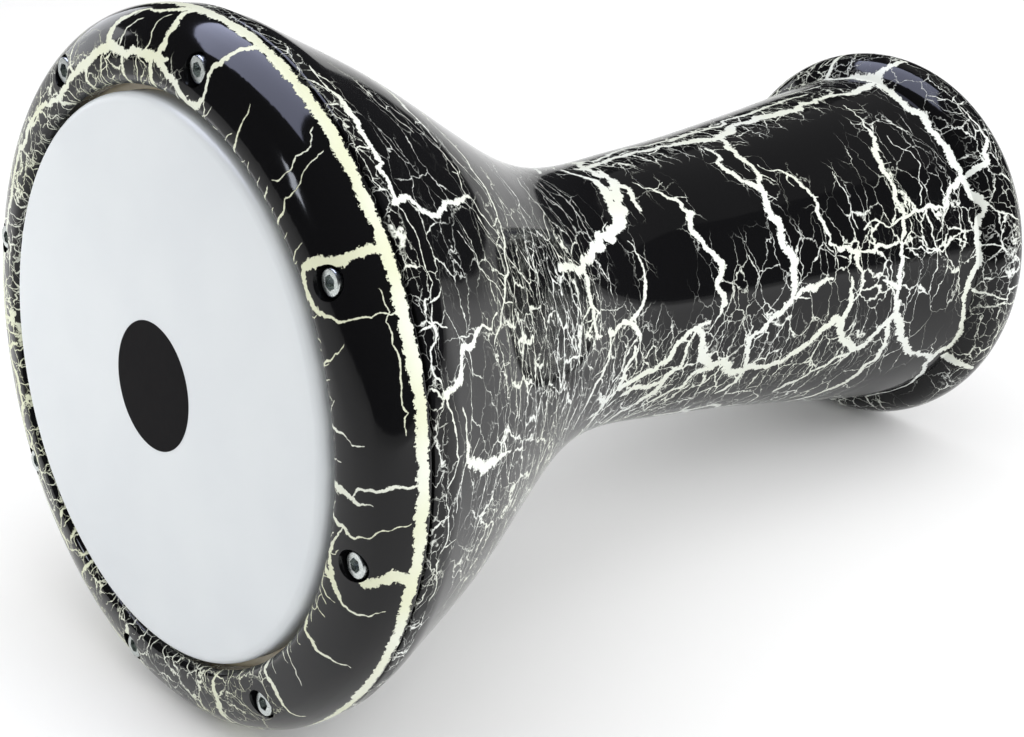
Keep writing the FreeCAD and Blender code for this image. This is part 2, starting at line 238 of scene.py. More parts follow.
outline_points = stretch(TUBE_SHARES, WAIST, FOOT_CORNER)[:0:-1] + stretch(BOWL_SHARES, WAIST, RIM)
outline, heading = spline(outline_points, 2.25)
coarse, coarse_heading = spline(outline_points, 14.0)
inner_wall = coarse + np.column_stack([-coarse_heading[:, 1], coarse_heading[:, 0]]) * SHELL_WALL
print("outline runs", round(float(np.linalg.norm(np.diff(outline, axis=0), axis=1).sum()), 1),
      "mm, waist radius",
      round(float(outline[:, 0].min()), 2))

# %% [markdown]
# ## The turned tree
#
# A closed section becomes a curve, and Curve to Mesh sweeps it round a circle. Holes and pockets
# are cylinders on a second circle of points, taken away with a Mesh Boolean, and bosses are added
# the same way. One tree does this for the shell and for the ring, because both follow the same
# rule: a section, a count and a bolt circle.

# %% A tree for turned pieces with bosses and holes
SWEEP_RADIUS = 0.1         # the circle that the section is swept along; the section is moved to suit


def section_object(name, points):
    """A closed wire that holds a section, drawn for the sweep; clockwise, so that faces point out."""
    area = sum(a[0] * b[1] - b[0] * a[1] for a, b in zip(points, points[1:] + points[:1]))
    points = points[::-1] if area > 0 else points
    wire = bpy.data.meshes.new(name)
    count = len(points)
    wire.from_pydata([(r * MM - SWEEP_RADIUS, -h * MM, 0) for r, h in points],
                     [(i, (i + 1) % count) for i in range(count)], [])
    holder = bpy.data.objects.new(name, wire)
    scene.collection.objects.link(holder)
    return holder


def swept(tree, section, sides):
    """The nodes that turn a section object into a solid."""
    shape = add(tree, "GeometryNodeObjectInfo", {"Object": section}).outputs["Geometry"]
    loop = add(tree, "GeometryNodeMeshToCurve", {0: shape}).outputs[0]
    circle = add(tree, "GeometryNodeCurvePrimitiveCircle", {"Resolution": sides, "Radius": SWEEP_RADIUS})
    return add(tree, "GeometryNodeCurveToMesh", {0: circle.outputs[0], 1: loop}).outputs[0]


def on_circle(tree, shape, count, radius, first_angle, height):
    """The nodes that repeat a shape round the axis, at this height."""
    ring = add(tree, "GeometryNodeMeshCircle", {"Vertices": count, "Radius": radius}).outputs[0]
    turn = add(tree, "ShaderNodeCombineXYZ", {"Z": first_angle}).outputs[0]
    rise = add(tree, "ShaderNodeCombineXYZ", {"Z": height}).outputs[0]
    placed = add(tree, "GeometryNodeTransform", {"Geometry": ring, "Rotation": turn, "Translation": rise})
    copies = add(tree, "GeometryNodeInstanceOnPoints", {"Points": placed.outputs[0], "Instance": shape})
    return add(tree, "GeometryNodeRealizeInstances", {0: copies.outputs[0]}).outputs[0]


def plug(tree, radius, low, high, sides=96):
    """The nodes of an upright cylinder from low to high; low is at zero before it is placed."""
    depth = add(tree, "ShaderNodeMath", {0: high, 1: low}, operation="SUBTRACT").outputs[0]
    middle = add(tree, "ShaderNodeMath", {0: depth, 1: 0.5}, operation="MULTIPLY").outputs[0]
    lift = add(tree, "ShaderNodeCombineXYZ", {"Z": middle}).outputs[0]
    round_bar = add(tree, "GeometryNodeMeshCylinder", {"Vertices": sides, "Radius": radius, "Depth": depth})
    return add(tree, "GeometryNodeTransform",
               {"Geometry": round_bar.outputs[0], "Translation": lift}).outputs[0]


def drilled(tree, body, cutter):
    return add(tree, "GeometryNodeMeshBoolean", {"Mesh 1": body, "Mesh 2": cutter},
               operation="DIFFERENCE", solver="MANIFOLD").outputs[0]


def turned_tree():
    tree, given, out = new_tree(
        "Turned piece", Section="Object", Core="Object", Sides="Int", Finish="Material",
        Bolt_Count="Int", Bolt_Circle="Float", First_Angle="Float", Boss_Radius="Float",
        Boss_Low="Float", Boss_High="Float", Pocket_Radius="Float", Pocket_Low="Float",
        Pocket_High="Float", Hole_Radius="Float", Hole_Low="Float", Hole_High="Float")
    body = swept(tree, given["Section"], given["Sides"])
    around = (given["Bolt Count"], given["Bolt Circle"], given["First Angle"])

    def repeated(word):
        bar = plug(tree, given[word + " Radius"], given[word + " Low"], given[word + " High"])
        return on_circle(tree, bar, *around, given[word + " Low"])
    core = swept(tree, given["Core"], 96)
    trimmed = add(tree, "GeometryNodeMeshBoolean", {"Mesh 2": repeated("Boss")},
                  operation="INTERSECT", solver="MANIFOLD")
    tree.links.new(core, trimmed.inputs["Mesh 2"])
    joined = add(tree, "GeometryNodeMeshBoolean", {"Mesh 2": body}, operation="UNION", solver="MANIFOLD")
    tree.links.new(trimmed.outputs[0], joined.inputs["Mesh 2"])
    has_bosses = add(tree, "FunctionNodeCompare", {0: given["Boss Radius"], 1: 0.0},
                     data_type="FLOAT", operation="GREATER_THAN").outputs[0]
    chosen = add(tree, "GeometryNodeSwitch", {"Switch": has_bosses, "False": body, "True": joined.outputs[0]},
                 input_type="GEOMETRY").outputs[0]
    pocketed = drilled(tree, chosen, repeated("Pocket"))
    holed = drilled(tree, pocketed, repeated("Hole"))
    finish_tree(tree, holed, given["Finish"], out[0])
    return tree


turned = turned_tree()
print("the turned tree has", len(turned.nodes), "nodes")

# %% [markdown]
# ## The shell's section
#
# The list starts at the foot corner and goes up the outside to the rim, across the flange, over
# the bearing edge that the head is stretched on, under the web, down the inside of the wall and
# round the foot lip back to the corner. The lip and the outside get a point every two millimetres,
# because the crackle is drawn on those points.

# %% The shell's section and mesh
BOLT_COUNT, BOLT_CIRCLE, FIRST_BOLT = 8, 127.3, math.radians(-9.8)
INSERT_SEAT, INSERT_BOTTOM = 4.47, 394.4
BLIND_RADIUS, BLIND_BOTTOM = 3.3, 392.0
BOSS_RADIUS, BOSS_BOTTOM = 7.5, 389.5
SHELL_SIDES = 352
PLAIN = 12.0               # step along faces that hardly show, mm


def shell_section():
    face_angle = math.degrees(math.atan2(-LIP_CENTRE[1], FOOT_FACE_RADIUS - LIP_CENTRE[0]))
    rim_inside = inner_wall[-1]
    crown_middle = ((COLLAR_INNER + CROWN_OUTER) / 2, CROWN_TOP - (CROWN_OUTER - COLLAR_INNER) / 2)
    crown_reach = (CROWN_OUTER - COLLAR_INNER) / 2
    wall = [tuple(p) for p in inner_wall]
    section = [tuple(p) for p in outline[:-1]]
    section += bulged(outline[-1], RIM, -RIM_BULGE, 1.9)
    section += straight(RIM, (FLANGE_RADIUS, RIM[1] + 0.9), 1.3)
    section += straight((FLANGE_RADIUS, RIM[1] + 0.9), (FLANGE_RADIUS, FLANGE_TOP - 0.8), 1.4)
    section += round_about((FLANGE_RADIUS - 0.8, FLANGE_TOP - 0.8), 0.8, 0, 90, 0.4)
    section += straight((FLANGE_RADIUS - 0.8, FLANGE_TOP), (COLLAR_OUTER, FLANGE_TOP), 8)
    section += straight((COLLAR_OUTER, FLANGE_TOP), (COLLAR_OUTER, CROWN_BOTTOM - 0.95), PLAIN)
    section += straight((COLLAR_OUTER, CROWN_BOTTOM - 0.95), (CROWN_OUTER, CROWN_BOTTOM), PLAIN)
    section += straight((CROWN_OUTER, CROWN_BOTTOM), (CROWN_OUTER, crown_middle[1]), PLAIN)
    section += round_about(crown_middle, crown_reach, 0, 180, 1.2)
    section += straight((COLLAR_INNER, crown_middle[1]), (COLLAR_INNER, WEB_UNDERSIDE), PLAIN)
    section += straight((COLLAR_INNER, WEB_UNDERSIDE), (rim_inside[0], WEB_UNDERSIDE), PLAIN)
    section += [(rim_inside[0], WEB_UNDERSIDE)] + wall[::-1]
    section += straight((MOUTH_RADIUS, MOUTH_LAND), (MOUTH_RADIUS, 0), 4)
    section += straight((MOUTH_RADIUS, 0), (FOOT_FACE_RADIUS, 0), 4)
    section += round_about(LIP_CENTRE, LIP_ROLL, face_angle, LIP_CORNER_ANGLE, 1.6)
    return section


shell_profile = shell_section()
core_profile = ([(0.0, RIM[1] + 2), (RIM[0], RIM[1] + 2)] + bulged(outline[-1], RIM, -RIM_BULGE, 1.9)[::-1]
                + [tuple(p) for p in outline[-4::-3] if p[1] > 330] + [(0.0, 330)])
print("the shell's section has", len(shell_profile), "points, lowest", min(p[1] for p in shell_profile),
      "highest", max(p[1] for p in shell_profile))


# %% [markdown]
# The ring's section is a flat rear, a short outer side, a bulged slope and a rounded crest that
# ends in a thin lip over the hoop. The screw pockets cut through its slope, so their edges are
# curves in space, which the boolean finds by itself.

# %% The ring's section
RING_RADIUS, RING_BORE, RING_REAR = 141.0, 117.3, 412.0
LIP_INNER, HOOP_TOP, CREST = 112.9, 426.0, 434.1
LIP_EDGE, CREST_POINT = (LIP_INNER, 431.0), (117.5, CREST)
SHOULDER, SIDE_TOP = (133.0, 429.9), (RING_RADIUS, 414.8)
POCKET_RADIUS, POCKET_FLOOR, WASHER_UNDER = 6.1, 423.7, 423.7
RING_SIDES = 600

slope = (bulged(LIP_EDGE, CREST_POINT, 0.9, 0.7) + bulged(CREST_POINT, SHOULDER, 0.9, 1.0)
         + bulged(SHOULDER, SIDE_TOP, 2.1, 1.0))
ring_face = (slope + straight(SIDE_TOP, (RING_RADIUS, RING_REAR + 1), 0.9)
             + round_about((RING_RADIUS - 1, RING_REAR + 1), 1.0, 0, -90, 0.5)[:-1])
ring_profile = (ring_face + straight((RING_RADIUS - 1, RING_REAR), (RING_BORE, RING_REAR), 8)
                + straight((RING_BORE, RING_REAR), (RING_BORE, HOOP_TOP), 8)
                + [(RING_BORE, HOOP_TOP)] + straight((LIP_INNER, HOOP_TOP), LIP_EDGE, 2))
print("the ring's section has", len(ring_profile), "points")

# %% [markdown]
# ## Smooth light on turned faces
#
# Gloss shows every error in the normals. A boolean leaves thin triangles beside each pocket, and
# their averaged normals would make small dents in the reflections. The true normal of a turned
# face is known from its section, so it is written on every corner that lies on a smooth part.

# %% Normals from the section
CORNER = math.radians(24)
CENTRE_HOLE = 0.02         # a section stops just short of the axis, mm


def section_normals(points):
    """Outward normals at a closed section's points; a sharp corner gets none."""
    points = np.array(points)
    if np.sum(points[:, 0] * np.roll(points[:, 1], -1) - np.roll(points[:, 0], -1) * points[:, 1]) < 0:
        turn = -1
    else:
        turn = 1
    legs = np.roll(points, -1, axis=0) - points
    length = np.linalg.norm(legs, axis=1)
    out = turn * np.column_stack([legs[:, 1], -legs[:, 0]]) / length[:, None]
    before, before_length = np.roll(out, 1, axis=0), np.roll(length, 1)
    smooth = (before * out).sum(axis=1) > math.cos(CORNER)
    normal = out * before_length[:, None] + before * length[:, None]
    normal /= np.linalg.norm(normal, axis=1)[:, None]
    return points, out, normal, smooth


def fine_normals(points, step=0.25):
    """The section sampled finely: place, normal."""
    points, out, normal, smooth = section_normals(points)
    places, normals = [], []
    for i in range(len(points)):
        j = (i + 1) % len(points)
        count = max(2, int(np.linalg.norm(points[j] - points[i]) / step))
        share = ((np.arange(count) + 0.5) / count)[:, None]
        first = normal[i] if smooth[i] else out[i]
        last = normal[j] if smooth[j] else out[i]
        places.append(points[i] + (points[j] - points[i]) * share)
        normals.append(first + (last - first) * share)
    places, normals = np.concatenate(places), np.concatenate(normals)
    return places, normals / np.linalg.norm(normals, axis=1)[:, None]


def tree_of(points):
    """A search tree over points that have two or three numbers."""
    kd = KDTree(len(points))
    for i, p in enumerate(points):
        kd.insert((p[0], p[1], p[2] if len(p) > 2 else 0.0), i)
    kd.balance()
    return kd


def vertex_places(mesh):
    """A mesh's points in millimetres."""
    co = np.empty(len(mesh.vertices) * 3)
    mesh.vertices.foreach_get("co", co)
    return co.reshape(-1, 3) / MM


def shade_turned(piece, profile):
    """Gives an upright turned piece the normals of its section."""
    mesh = piece.data
    mesh.shade_smooth()
    mesh.set_sharp_from_angle(angle=math.radians(30))
    places, normals = fine_normals(profile)
    kd = tree_of(places)
    co = vertex_places(mesh)
    radius = np.hypot(co[:, 0], co[:, 1])
    nearest = [kd.find((r, h, 0.0)) for r, h in zip(radius, co[:, 2])]
    found = normals[[hit[1] for hit in nearest]]
    close = np.array([hit[2] < 0.3 for hit in nearest])
    radial = co[:, :2] / np.maximum(radius, 1e-6)[:, None]
    analytic = np.column_stack([radial * found[:, :1], found[:, 1]])
    loops = len(mesh.loops)
    corner = np.empty(loops * 3)
    mesh.corner_normals.foreach_get("vector", corner)
    corner = corner.reshape(-1, 3)
    vertex = np.empty(loops, int)
    mesh.loops.foreach_get("vertex_index", vertex)
    face = np.empty(len(mesh.polygons) * 3)
    mesh.polygons.foreach_get("normal", face)
    sizes = np.empty(len(mesh.polygons), int)
    mesh.polygons.foreach_get("loop_total", sizes)
    face = np.repeat(face.reshape(-1, 3), sizes, axis=0)
    good = close[vertex] & ((analytic[vertex] * face).sum(axis=1) > math.cos(CORNER))
    corner[good] = analytic[vertex][good]
    mesh.normals_split_custom_set(corner.tolist())
    return int(good.sum()), loops


def close_poles(piece):
    """Draws the tiny ring of points at each end of the axis together into one point."""
    work = bmesh.new()
    work.from_mesh(piece.data)
    inner = [v for v in work.verts if math.hypot(v.co.x, v.co.y) < 2 * CENTRE_HOLE * MM]
    for v in inner:
        v.co.x = v.co.y = 0.0
    bmesh.ops.remove_doubles(work, verts=inner, dist=CENTRE_HOLE * MM)
    work.to_mesh(piece.data)
    work.free()


def lay(piece):
    """Lays an upright piece down where the drum lies."""
    piece.data.transform(lay_down)
    piece.data.update()
    return piece

# %% [markdown]
# ## Crackle lacquer
#
# The drum is coated twice: a cream base, then a black gloss coat that shrinks as it dries and
# cracks open, so cream shows in the gaps. Some cracks are as wide as a finger's edge and wander
# right round the drum, others are a net of hairlines. Two things make that pattern here. The wide
# cracks are paths, written below as (degrees round the drum, height, width), roughened with a
# seeded midpoint rule and stored on the mesh as a signed distance and a width. The hairlines are
# cells of a Voronoi texture, and a third number on the mesh says how dense they are.

# %% Wide cracks on the shell
SHELL_CRACKS = [
    # bowl: down from the flange
    [(-46.5, 404.5, 2.5), (-45, 395, 2.7), (-47.4, 387, 2.7), (-47.6, 380, 2.5), (-44.8, 372.5, 2.2),
     (-43.9, 361, 2.2), (-42.5, 352, 2)],
    [(-20, 402.6, .8), (-31, 402.6, 3), (-44, 402.6, 2.6), (-47, 402.6, 1), (-62, 402.8, 1),
     (-65, 402.6, 1.8), (-75, 402.7, 1.4), (-92, 402.8, 1.1), (-112, 402.6, .9)],
    [(-64.5, 410, 1.4), (-64, 404, 1.6), (-64.8, 397, 1)],
    [(-74, 403, 3.5), (-73, 394, 3), (-70.7, 392, 2), (-68, 389, 2.5), (-68.4, 382, 2.8), (-65.6, 373, 1.6),
     (-67, 367, 1.5), (-65, 364, 1.4), (-64, 360, 1)],
    [(-76.6, 394, 1.6), (-80, 393, 1.5), (-83.8, 392, 2.5), (-85.7, 390, 3), (-87.2, 382, 5), (-88, 374, 4),
     (-88.6, 366, 2.5), (-89, 358, 1.6)],
    [(-84, 392, 1.5), (-88, 396, 1.2), (-92, 398, 1)],
    [(-15, 385, .8), (-22, 376, 1), (-30, 366, .9)],
    [(-24, 368, .8), (-42, 354, 1.1), (-48, 345, 1.2), (-52, 338, 1)],
    [(-26, 351, .8), (-34, 344, 1), (-43, 336, .9)],
    [(-30, 322, .7), (-37, 325, .9), (-43, 325, .8)],
    [(-21, 283, .8), (-31.5, 286, 1), (-46, 290, 1), (-53, 292, .8)],
    [(-22, 270, .7), (-30, 265, .9), (-36, 262, .8)],
    [(-16, 300, .7), (-28, 306, .9), (-40, 308, 1), (-52, 313, 1), (-60, 318, .9)],
    [(-50, 372, .7), (-56, 366, .9), (-60, 356, .9), (-63, 347, .8)],
    # waist: the great crack and its branches
    [(3, 230, 2), (-10, 225, 3), (-21, 226, 6), (-29, 228, 9), (-36, 230, 8), (-41, 240, 5.5), (-43, 249, 5),
     (-47, 257, 5), (-52, 262, 4), (-58, 270, 3.5), (-64, 271, 3.5), (-69, 270, 3), (-75, 270, 3),
     (-80, 264, 1.5)],
    [(-5, 215, 3), (-15, 216, 5), (-23, 221, 6), (-33, 226, 6)],
    [(-56, 271, 3), (-55, 279, 4), (-55, 286, 4), (-56, 293, 3)],
    [(-46.5, 232, 1), (-53, 229, 1.4), (-63, 229, 2), (-68, 231, 2.2), (-76, 237, 2), (-79, 242, 3),
     (-84, 236, 3), (-89, 235, 1)],
    [(-79, 242, 3), (-79, 250, 2.5), (-79, 258, 2.5), (-84, 257, 2), (-90, 257, 2), (-97, 265, 2.5),
     (-105, 272, 2), (-112, 276, 1.5)],
    [(-90, 238, 2), (-98, 243, 2), (-107, 243, 3)],
    [(-108, 243, 4), (-105, 230, 3.5), (-104, 220, 3), (-100, 213, 2.5), (-95, 212, 2.5), (-91, 207, 3),
     (-88, 200, 3), (-86, 193, 2)],
    # tube: rings that wander round it
    [(-18, 207, .8), (-25, 201, 1.5), (-33, 193, 2), (-40, 190, 3), (-45, 194, 3), (-48, 195, 2.5),
     (-54, 191, 2.5), (-60, 187, 3), (-66, 184, 4), (-72, 189, 3), (-79, 185, 3.5), (-85, 188, 1.5),
     (-91, 194, .8)],
    [(-9, 153, 2), (-23, 157, 2.5), (-32, 152, 3), (-38, 146, 3.5), (-43, 147, 5), (-50, 148, 4.5),
     (-59, 147, 4.5), (-69, 142, 5), (-78, 143, 4.5), (-84, 145, 4), (-88, 152, 3), (-90, 157, 2.5),
     (-95, 161, 2.5), (-97, 168, 3)],
    [(-3, 139, 3), (-16, 142, 3), (-24, 142, 3), (-32, 142, 2.5), (-37, 145, 2.5)],
    [(-83, 143, 3), (-80, 136, 3), (-79, 127, 3), (-78, 120, 2)],
    [(-26, 138, 1), (-31, 129, 1.5), (-38, 124, 2), (-42, 121, 2), (-50, 120, 2), (-59, 120, 2.2),
     (-65, 120, 1.5), (-68, 114, 2.5), (-70, 103, 2.5), (-78, 101, 2), (-84, 102, 2), (-88, 106, 1.5)],
    [(-9, 61, .8), (-18, 62, 1.2), (-23, 65, 2), (-31, 68, 3), (-39, 72, 3), (-45, 72, 2.5), (-50, 72, 2.5),
     (-57, 72, 2), (-63, 73, 2.5), (-69, 76, 2), (-77, 77, 2.5), (-83, 78, 3), (-90, 79, 3.5), (-95, 77, 4)],
    [(-30, 58, .5), (-38, 52, .8), (-44, 50, 1), (-52, 55, 1), (-58, 60, 1.2)],
    [(-38, 102, .6), (-46, 101, 1), (-56, 102, 1), (-61, 101, 1.2)],
    [(-62, 97, 1.5), (-60, 88, 1.5), (-63, 81, 1.2), (-61, 74, 2), (-60, 66, 1.8), (-60, 60, 2),
     (-59, 54, 2.5), (-61, 46, 2), (-57, 42, 3), (-54, 38, 2.5), (-52, 30, 3)],
    [(-60, 57, 1.5), (-69, 57, 1.4), (-76, 52, 1.4)],
    [(-72, 74, 1.3), (-72, 64, 1.3), (-75, 52, 1.4), (-72, 44, 1.3), (-74, 34, 1.4)],
    [(-70, 103, 2), (-71, 93, 2), (-70, 84, 2), (-69, 78, 1.8)],
    [(-82, 88, 1.5), (-84, 82, 2.5), (-86, 78, 3)],
    [(-79, 108, 1.5), (-87, 107, 3), (-92, 109, 3), (-97, 113, 4)],
    # underside: one long meander from waist to foot, and what joins it
    [(-113, 237, 3), (-112, 226, 3), (-112, 214, 3), (-105, 205, 2.5), (-96, 205, 2), (-91, 202, 2),
     (-88, 199, 2.5), (-95, 196, 4), (-101, 194.6, 5), (-109, 186, 4), (-106, 180, 4), (-114, 171, 4),
     (-113.5, 164, 4), (-113, 154, 3.5), (-112, 143, 3.5), (-108, 136, 3.5), (-103, 127, 3), (-97, 120, 4),
     (-96, 112, 4.5), (-102, 108, 4), (-110, 97, 4), (-107, 89, 4), (-102, 85, 3), (-97.5, 79, 3.5),
     (-96.5, 75, 4), (-101.5, 70, 5), (-108, 65.5, 4), (-114, 57, 3.5), (-117, 46, 3), (-119, 36, 4)],
    [(-97, 167, 3), (-104, 165, 2.5), (-112, 163, 2.5), (-121, 163, 2.5), (-127, 170, 2)],
    [(-109, 187, 3), (-113, 197, 2.5), (-119, 199, 2), (-126, 212, 2), (-131, 221, 1.5)],
    [(-133, 128, 2), (-126, 121, 2.5), (-120, 116, 2), (-116, 107, 2), (-112, 98, 2.5)],
    # top: two strands along the tube
    [(2, 222, 3), (3, 205, 4), (4, 190, 3), (3, 175, 4), (2, 160, 5), (-1, 148, 6), (-3, 138, 6), (1, 125, 5),
     (2, 115, 4), (3, 105, 6), (-1, 95, 6), (-2, 85, 5), (2, 75, 4), (0, 62, 3), (-3, 50, 4), (-3, 38, 5),
     (-2, 30, 5)],
    [(12, 215, 2), (10, 195, 2.5), (12, 175, 2), (9, 155, 3), (8, 135, 3), (12, 118, 2.5), (9, 100, 3),
     (10, 80, 2.5), (8, 62, 2)],
    # foot: round the corner above the lip, and down over the lip
    [(20, 28, 3), (8, 27, 4), (-10, 28, 5), (-25, 28, 5), (-40, 29, 5), (-55, 28, 4.5), (-70, 28, 3.5),
     (-85, 30, 3.5), (-100, 30, 3), (-115, 33, 3.5), (-130, 32, 2.5), (-145, 32, 2), (-165, 30, 2.5),
     (-190, 28, 3)],
    [(-2, 26, 4), (-3, 20, 4), (-5, 12, 2.5)],
    [(20, 26, 3), (19, 18, 3), (17, 12, 2)],
    [(-52, 26, 3), (-50, 18, 3), (-43, 12, 2), (-38, 13, 1.5), (-33, 15, 1), (-28, 17, .8), (-25, 21, .8)],
    [(-91, 28, 2), (-92, 20, 1.5), (-93, 13, 1.5)],
    [(-118, 28, 4), (-118, 20, 4), (-119, 14, 3)],
]
print(len(SHELL_CRACKS), "wide cracks on the side that faces the camera")

# %% [markdown]
# The ring is cast and coated apart from the shell, so its cracks stop at its own edges. One wide
# crack runs all the way round where the slope turns into the rim, so that one comes from a formula.
# The rest run between that band, the screw pockets and the inner lip.

# %% Wide cracks on the ring
# Here the second number is the way across the ring's face, in millimetres from its inner lip.
RING_CRACKS = [
    # the band where the slope turns into the rim, all the way round
    [(angle, 38.9 + 0.3 * math.sin(angle * 0.31), 4.9 + 0.4 * math.sin(angle * 0.53)) for angle in range(-179,
                                                                                                         182,
                                                                                                         6)],
    # between the band and the pockets on the near side, with a loop round each pocket
    [(-52.8, 37, 4.3), (-52.3, 31, 4.2), (-52.5, 25, 4), (-52.2, 20, 4), (-51.2, 14, 4.2), (-51, 11, 4)],
    [(-51, 12, 3), (-50.8, 9, 3), (-51.8, 6.5, 2.6), (-54, 5.6, 2.6), (-56.8, 5.8, 2.2), (-58.6, 8.5, 2),
     (-59.6, 13, 1.6), (-61, 19, 1.2), (-61.4, 28, 1), (-61.6, 35, .8)],
    [(-55.6, 5.5, 2), (-56, 2.6, 2.2), (-56.4, .3, 2)],
    [(1, 13, 3), (-2, 10.5, 3), (-5, 8, 3), (-7, 5.8, 3), (-9, 4.4, 3.2), (-11.4, 4.2, 3), (-13.4, 5.8, 2.6),
     (-14.4, 9.5, 2), (-14.2, 13, 1.7), (-13.6, 17, 2), (-13.4, 21, 2.4), (-14.4, 27, 2.6), (-15, 33, 2.4),
     (-15.6, 37, 3)],
    [(-11, 4.5, 2.4), (-11.6, 2, 2), (-12, .3, 1.4)],
    [(-6, 6.5, 1), (-6.2, 3.5, 1.2), (-6, .5, .9)],
    [(-14.6, 9, 1), (-15.4, 4.5, 1.1), (-15.4, .3, .9)],
    [(-101.5, 19.5, 4), (-101.8, 22, 4), (-100.4, 27, 3.6), (-99, 31, 4), (-100, 35, 5), (-100.4, 38, 5)],
    [(-92.5, .4, 2), (-93.5, 6, 2), (-94, 11, 2), (-95, 14, 1.3), (-94, 20, 1), (-92, 28, .8), (-91, 35, .5)],
    [(-94, 9.6, 1.2), (-96, 8, 1.2), (-97.2, 6.2, 1.7), (-99.5, 5.3, 2), (-102, 5.8, 2.5), (-104, 7.6, 3),
     (-105.6, 10.5, 2.8), (-107, 14, 2), (-108, 19, 1.5), (-107.5, 26, 1), (-106, 31, .6)],
    [(-102, 1.2, 1.5), (-104, 4, 2.6), (-104.5, 7, 2.2)],
    # the thick run across the upper left
    [(-2, 14, 2), (2, 13.5, 4), (6, 13, 4), (9, 14, 3.5), (12, 13, 3.5), (15, 14, 4.5), (18, 15, 5),
     (21, 14, 4), (25, 11.5, 4.4), (28, 11, 4), (31, 9.5, 3), (34, 8, 2.6), (38, 7, 2.6), (42, 8.5, 2.2),
     (45, 12, 2.4), (50, 13, 3), (56, 12, 3), (63, 14, 2.8), (72, 12, 2.6), (83, 14, 2.4), (93, 16, 2.6),
     (104, 14, 2.4), (118, 15, 2.2), (131, 17, 2.6), (144, 14, 2.2)],
    [(-1, 38, 3), (1, 33, 3), (.5, 28, 3.2), (0, 23, 3), (-.5, 18, 3), (1, 14, 4)],
    [(-1, 37, 3), (4, 33, 2.6), (8, 30.5, 1.8), (12, 28, 1)],
    [(3, 30, 1), (4.4, 24, 1.1), (4, 18, 1.2), (5, 14, 1.5)],
    [(17, 15, 4), (17.4, 20, 4), (16, 25, 3.6), (13, 29, 2.6), (9.5, 31.5, 1.2)],
    [(9, 26, 1), (12, 22, 1.3), (13, 18, 1.4), (13, 15, 1.2)],
    [(2, 13, 3), (2.4, 8, 2.6), (1.6, 3, 2.2)],
    [(7, 12, 1.2), (6.6, 7, 1), (7.4, 3, .8)],
    [(12, 12, 2.4), (11.6, 7, 2), (11, 1.5, 1.6)],
    [(19, 13, 1.6), (19.6, 7, 1.2), (18.8, 1, 1)],
    [(25, 11, 2.6), (25.6, 6, 2), (24.8, 1, 1.6)],
    [(38, 7, 2.4), (37, 3.6, 2), (34.6, 1, 1.8)],
    [(30, 11, 2), (31.5, 19, 1.6), (29.5, 27, 1.4), (31, 35, 1.6)],
    # cracks that run in from the lip
    [(-25.4, .4, 2), (-25.3, 5, 1.7), (-25, 10, 1.4), (-24.6, 16, 1), (-24, 21, .5)],
    [(-33.5, .5, 1.6), (-34, 3, 1.2), (-33.6, 7, .5)],
    [(-37, .3, 1.8), (-36.6, 3, 1.8), (-36, 8, 1)],
    [(-42, .6, 2.4), (-41.6, 5, 1.8), (-41.2, 10, 1.2), (-40, 17, .8), (-38, 26, .6), (-37, 33, .5)],
    [(-36, 12, .8), (-37, 20, 1), (-36, 28, .8), (-33, 34, .7)],
    [(-49.6, .6, 1.6), (-48.6, 2.6, 1.4), (-47.8, 7, .9), (-47.4, 11, .5)],
    [(-46, .5, 1), (-45.6, 3, .7)],
    [(-64, .3, 1), (-64.2, 4, .8)],
    [(-67.5, .5, 2), (-66.5, 5, 1.5), (-65.2, 12, 1), (-64.2, 16, .6)],
    [(-69.5, .4, 1.2), (-69.2, 6, .8)],
    [(-77, .4, 2), (-77, 4, 1.8), (-78, 10, 1), (-79.5, 18, .7)],
    [(-86, .5, 2.5), (-87.5, 6, 3), (-88, 11, 2.5), (-89, 16, 1.5), (-88.5, 21, .8)],
    [(-88, 13, .8), (-86.4, 15, 1.6), (-86, 20, 1.6), (-85.4, 27, 2), (-85.6, 34, 1.6), (-85.4, 37, 1.6)],
    [(-58, 33, .6), (-64, 33.2, 1.1), (-70, 33.6, 1.2), (-75, 34.4, 1), (-78, 33, .8)],
    [(-105, .4, 1.6), (-107, 4, 1.3), (-108.4, 8, 1), (-108.4, 12, .6)],
    [(-109.5, .4, 1.2), (-112, 5, 1.1), (-112.6, 10, .8)],
    [(-113.6, .4, 1.1), (-116, 6, .6)],
    [(-117, .4, 2.6), (-119, 5, 2), (-119.4, 10, 2.1), (-120, 16, 1.6), (-119.4, 22, 1.3), (-119, 27, .8)],
    [(-127, 1, 1.6), (-128, 6, 1.1), (-128.6, 12, .9), (-130, 17, .6)],
    [(-137, .5, 3), (-138, 5, 2.2), (-137.6, 9, 2.6), (-138, 15, 2.1), (-138.6, 21, 1.6), (-137.6, 28, 1.1)],
    [(-157, 1.6, 1.4), (-158.4, 6, 2.4), (-159, 10, 3.4), (-159, 15, 4.2), (-160.2, 20, 4), (-160, 26, 2)],
]
print(len(RING_CRACKS), "wide cracks on the ring")

# %% [markdown]
# ### From paths to numbers on the mesh
#
# A path is roughened by moving the middle of each of its legs sideways by a random share of the
# leg's length, again and again, as a real crack wanders at every scale. Then every point of the
# mesh learns how far it lies from the nearest crack, with a sign for the side. A signed distance
# blends linearly over a face, so the crack stays crisp even where it is thinner than the mesh.

# %% Roughened paths on a turned surface
LAYERS = 7                 # paths in one layer keep clear of each other
CLEAR = 9.0                # that far apart, mm
REACH = 11.0               # no point further than this is painted by a path, mm


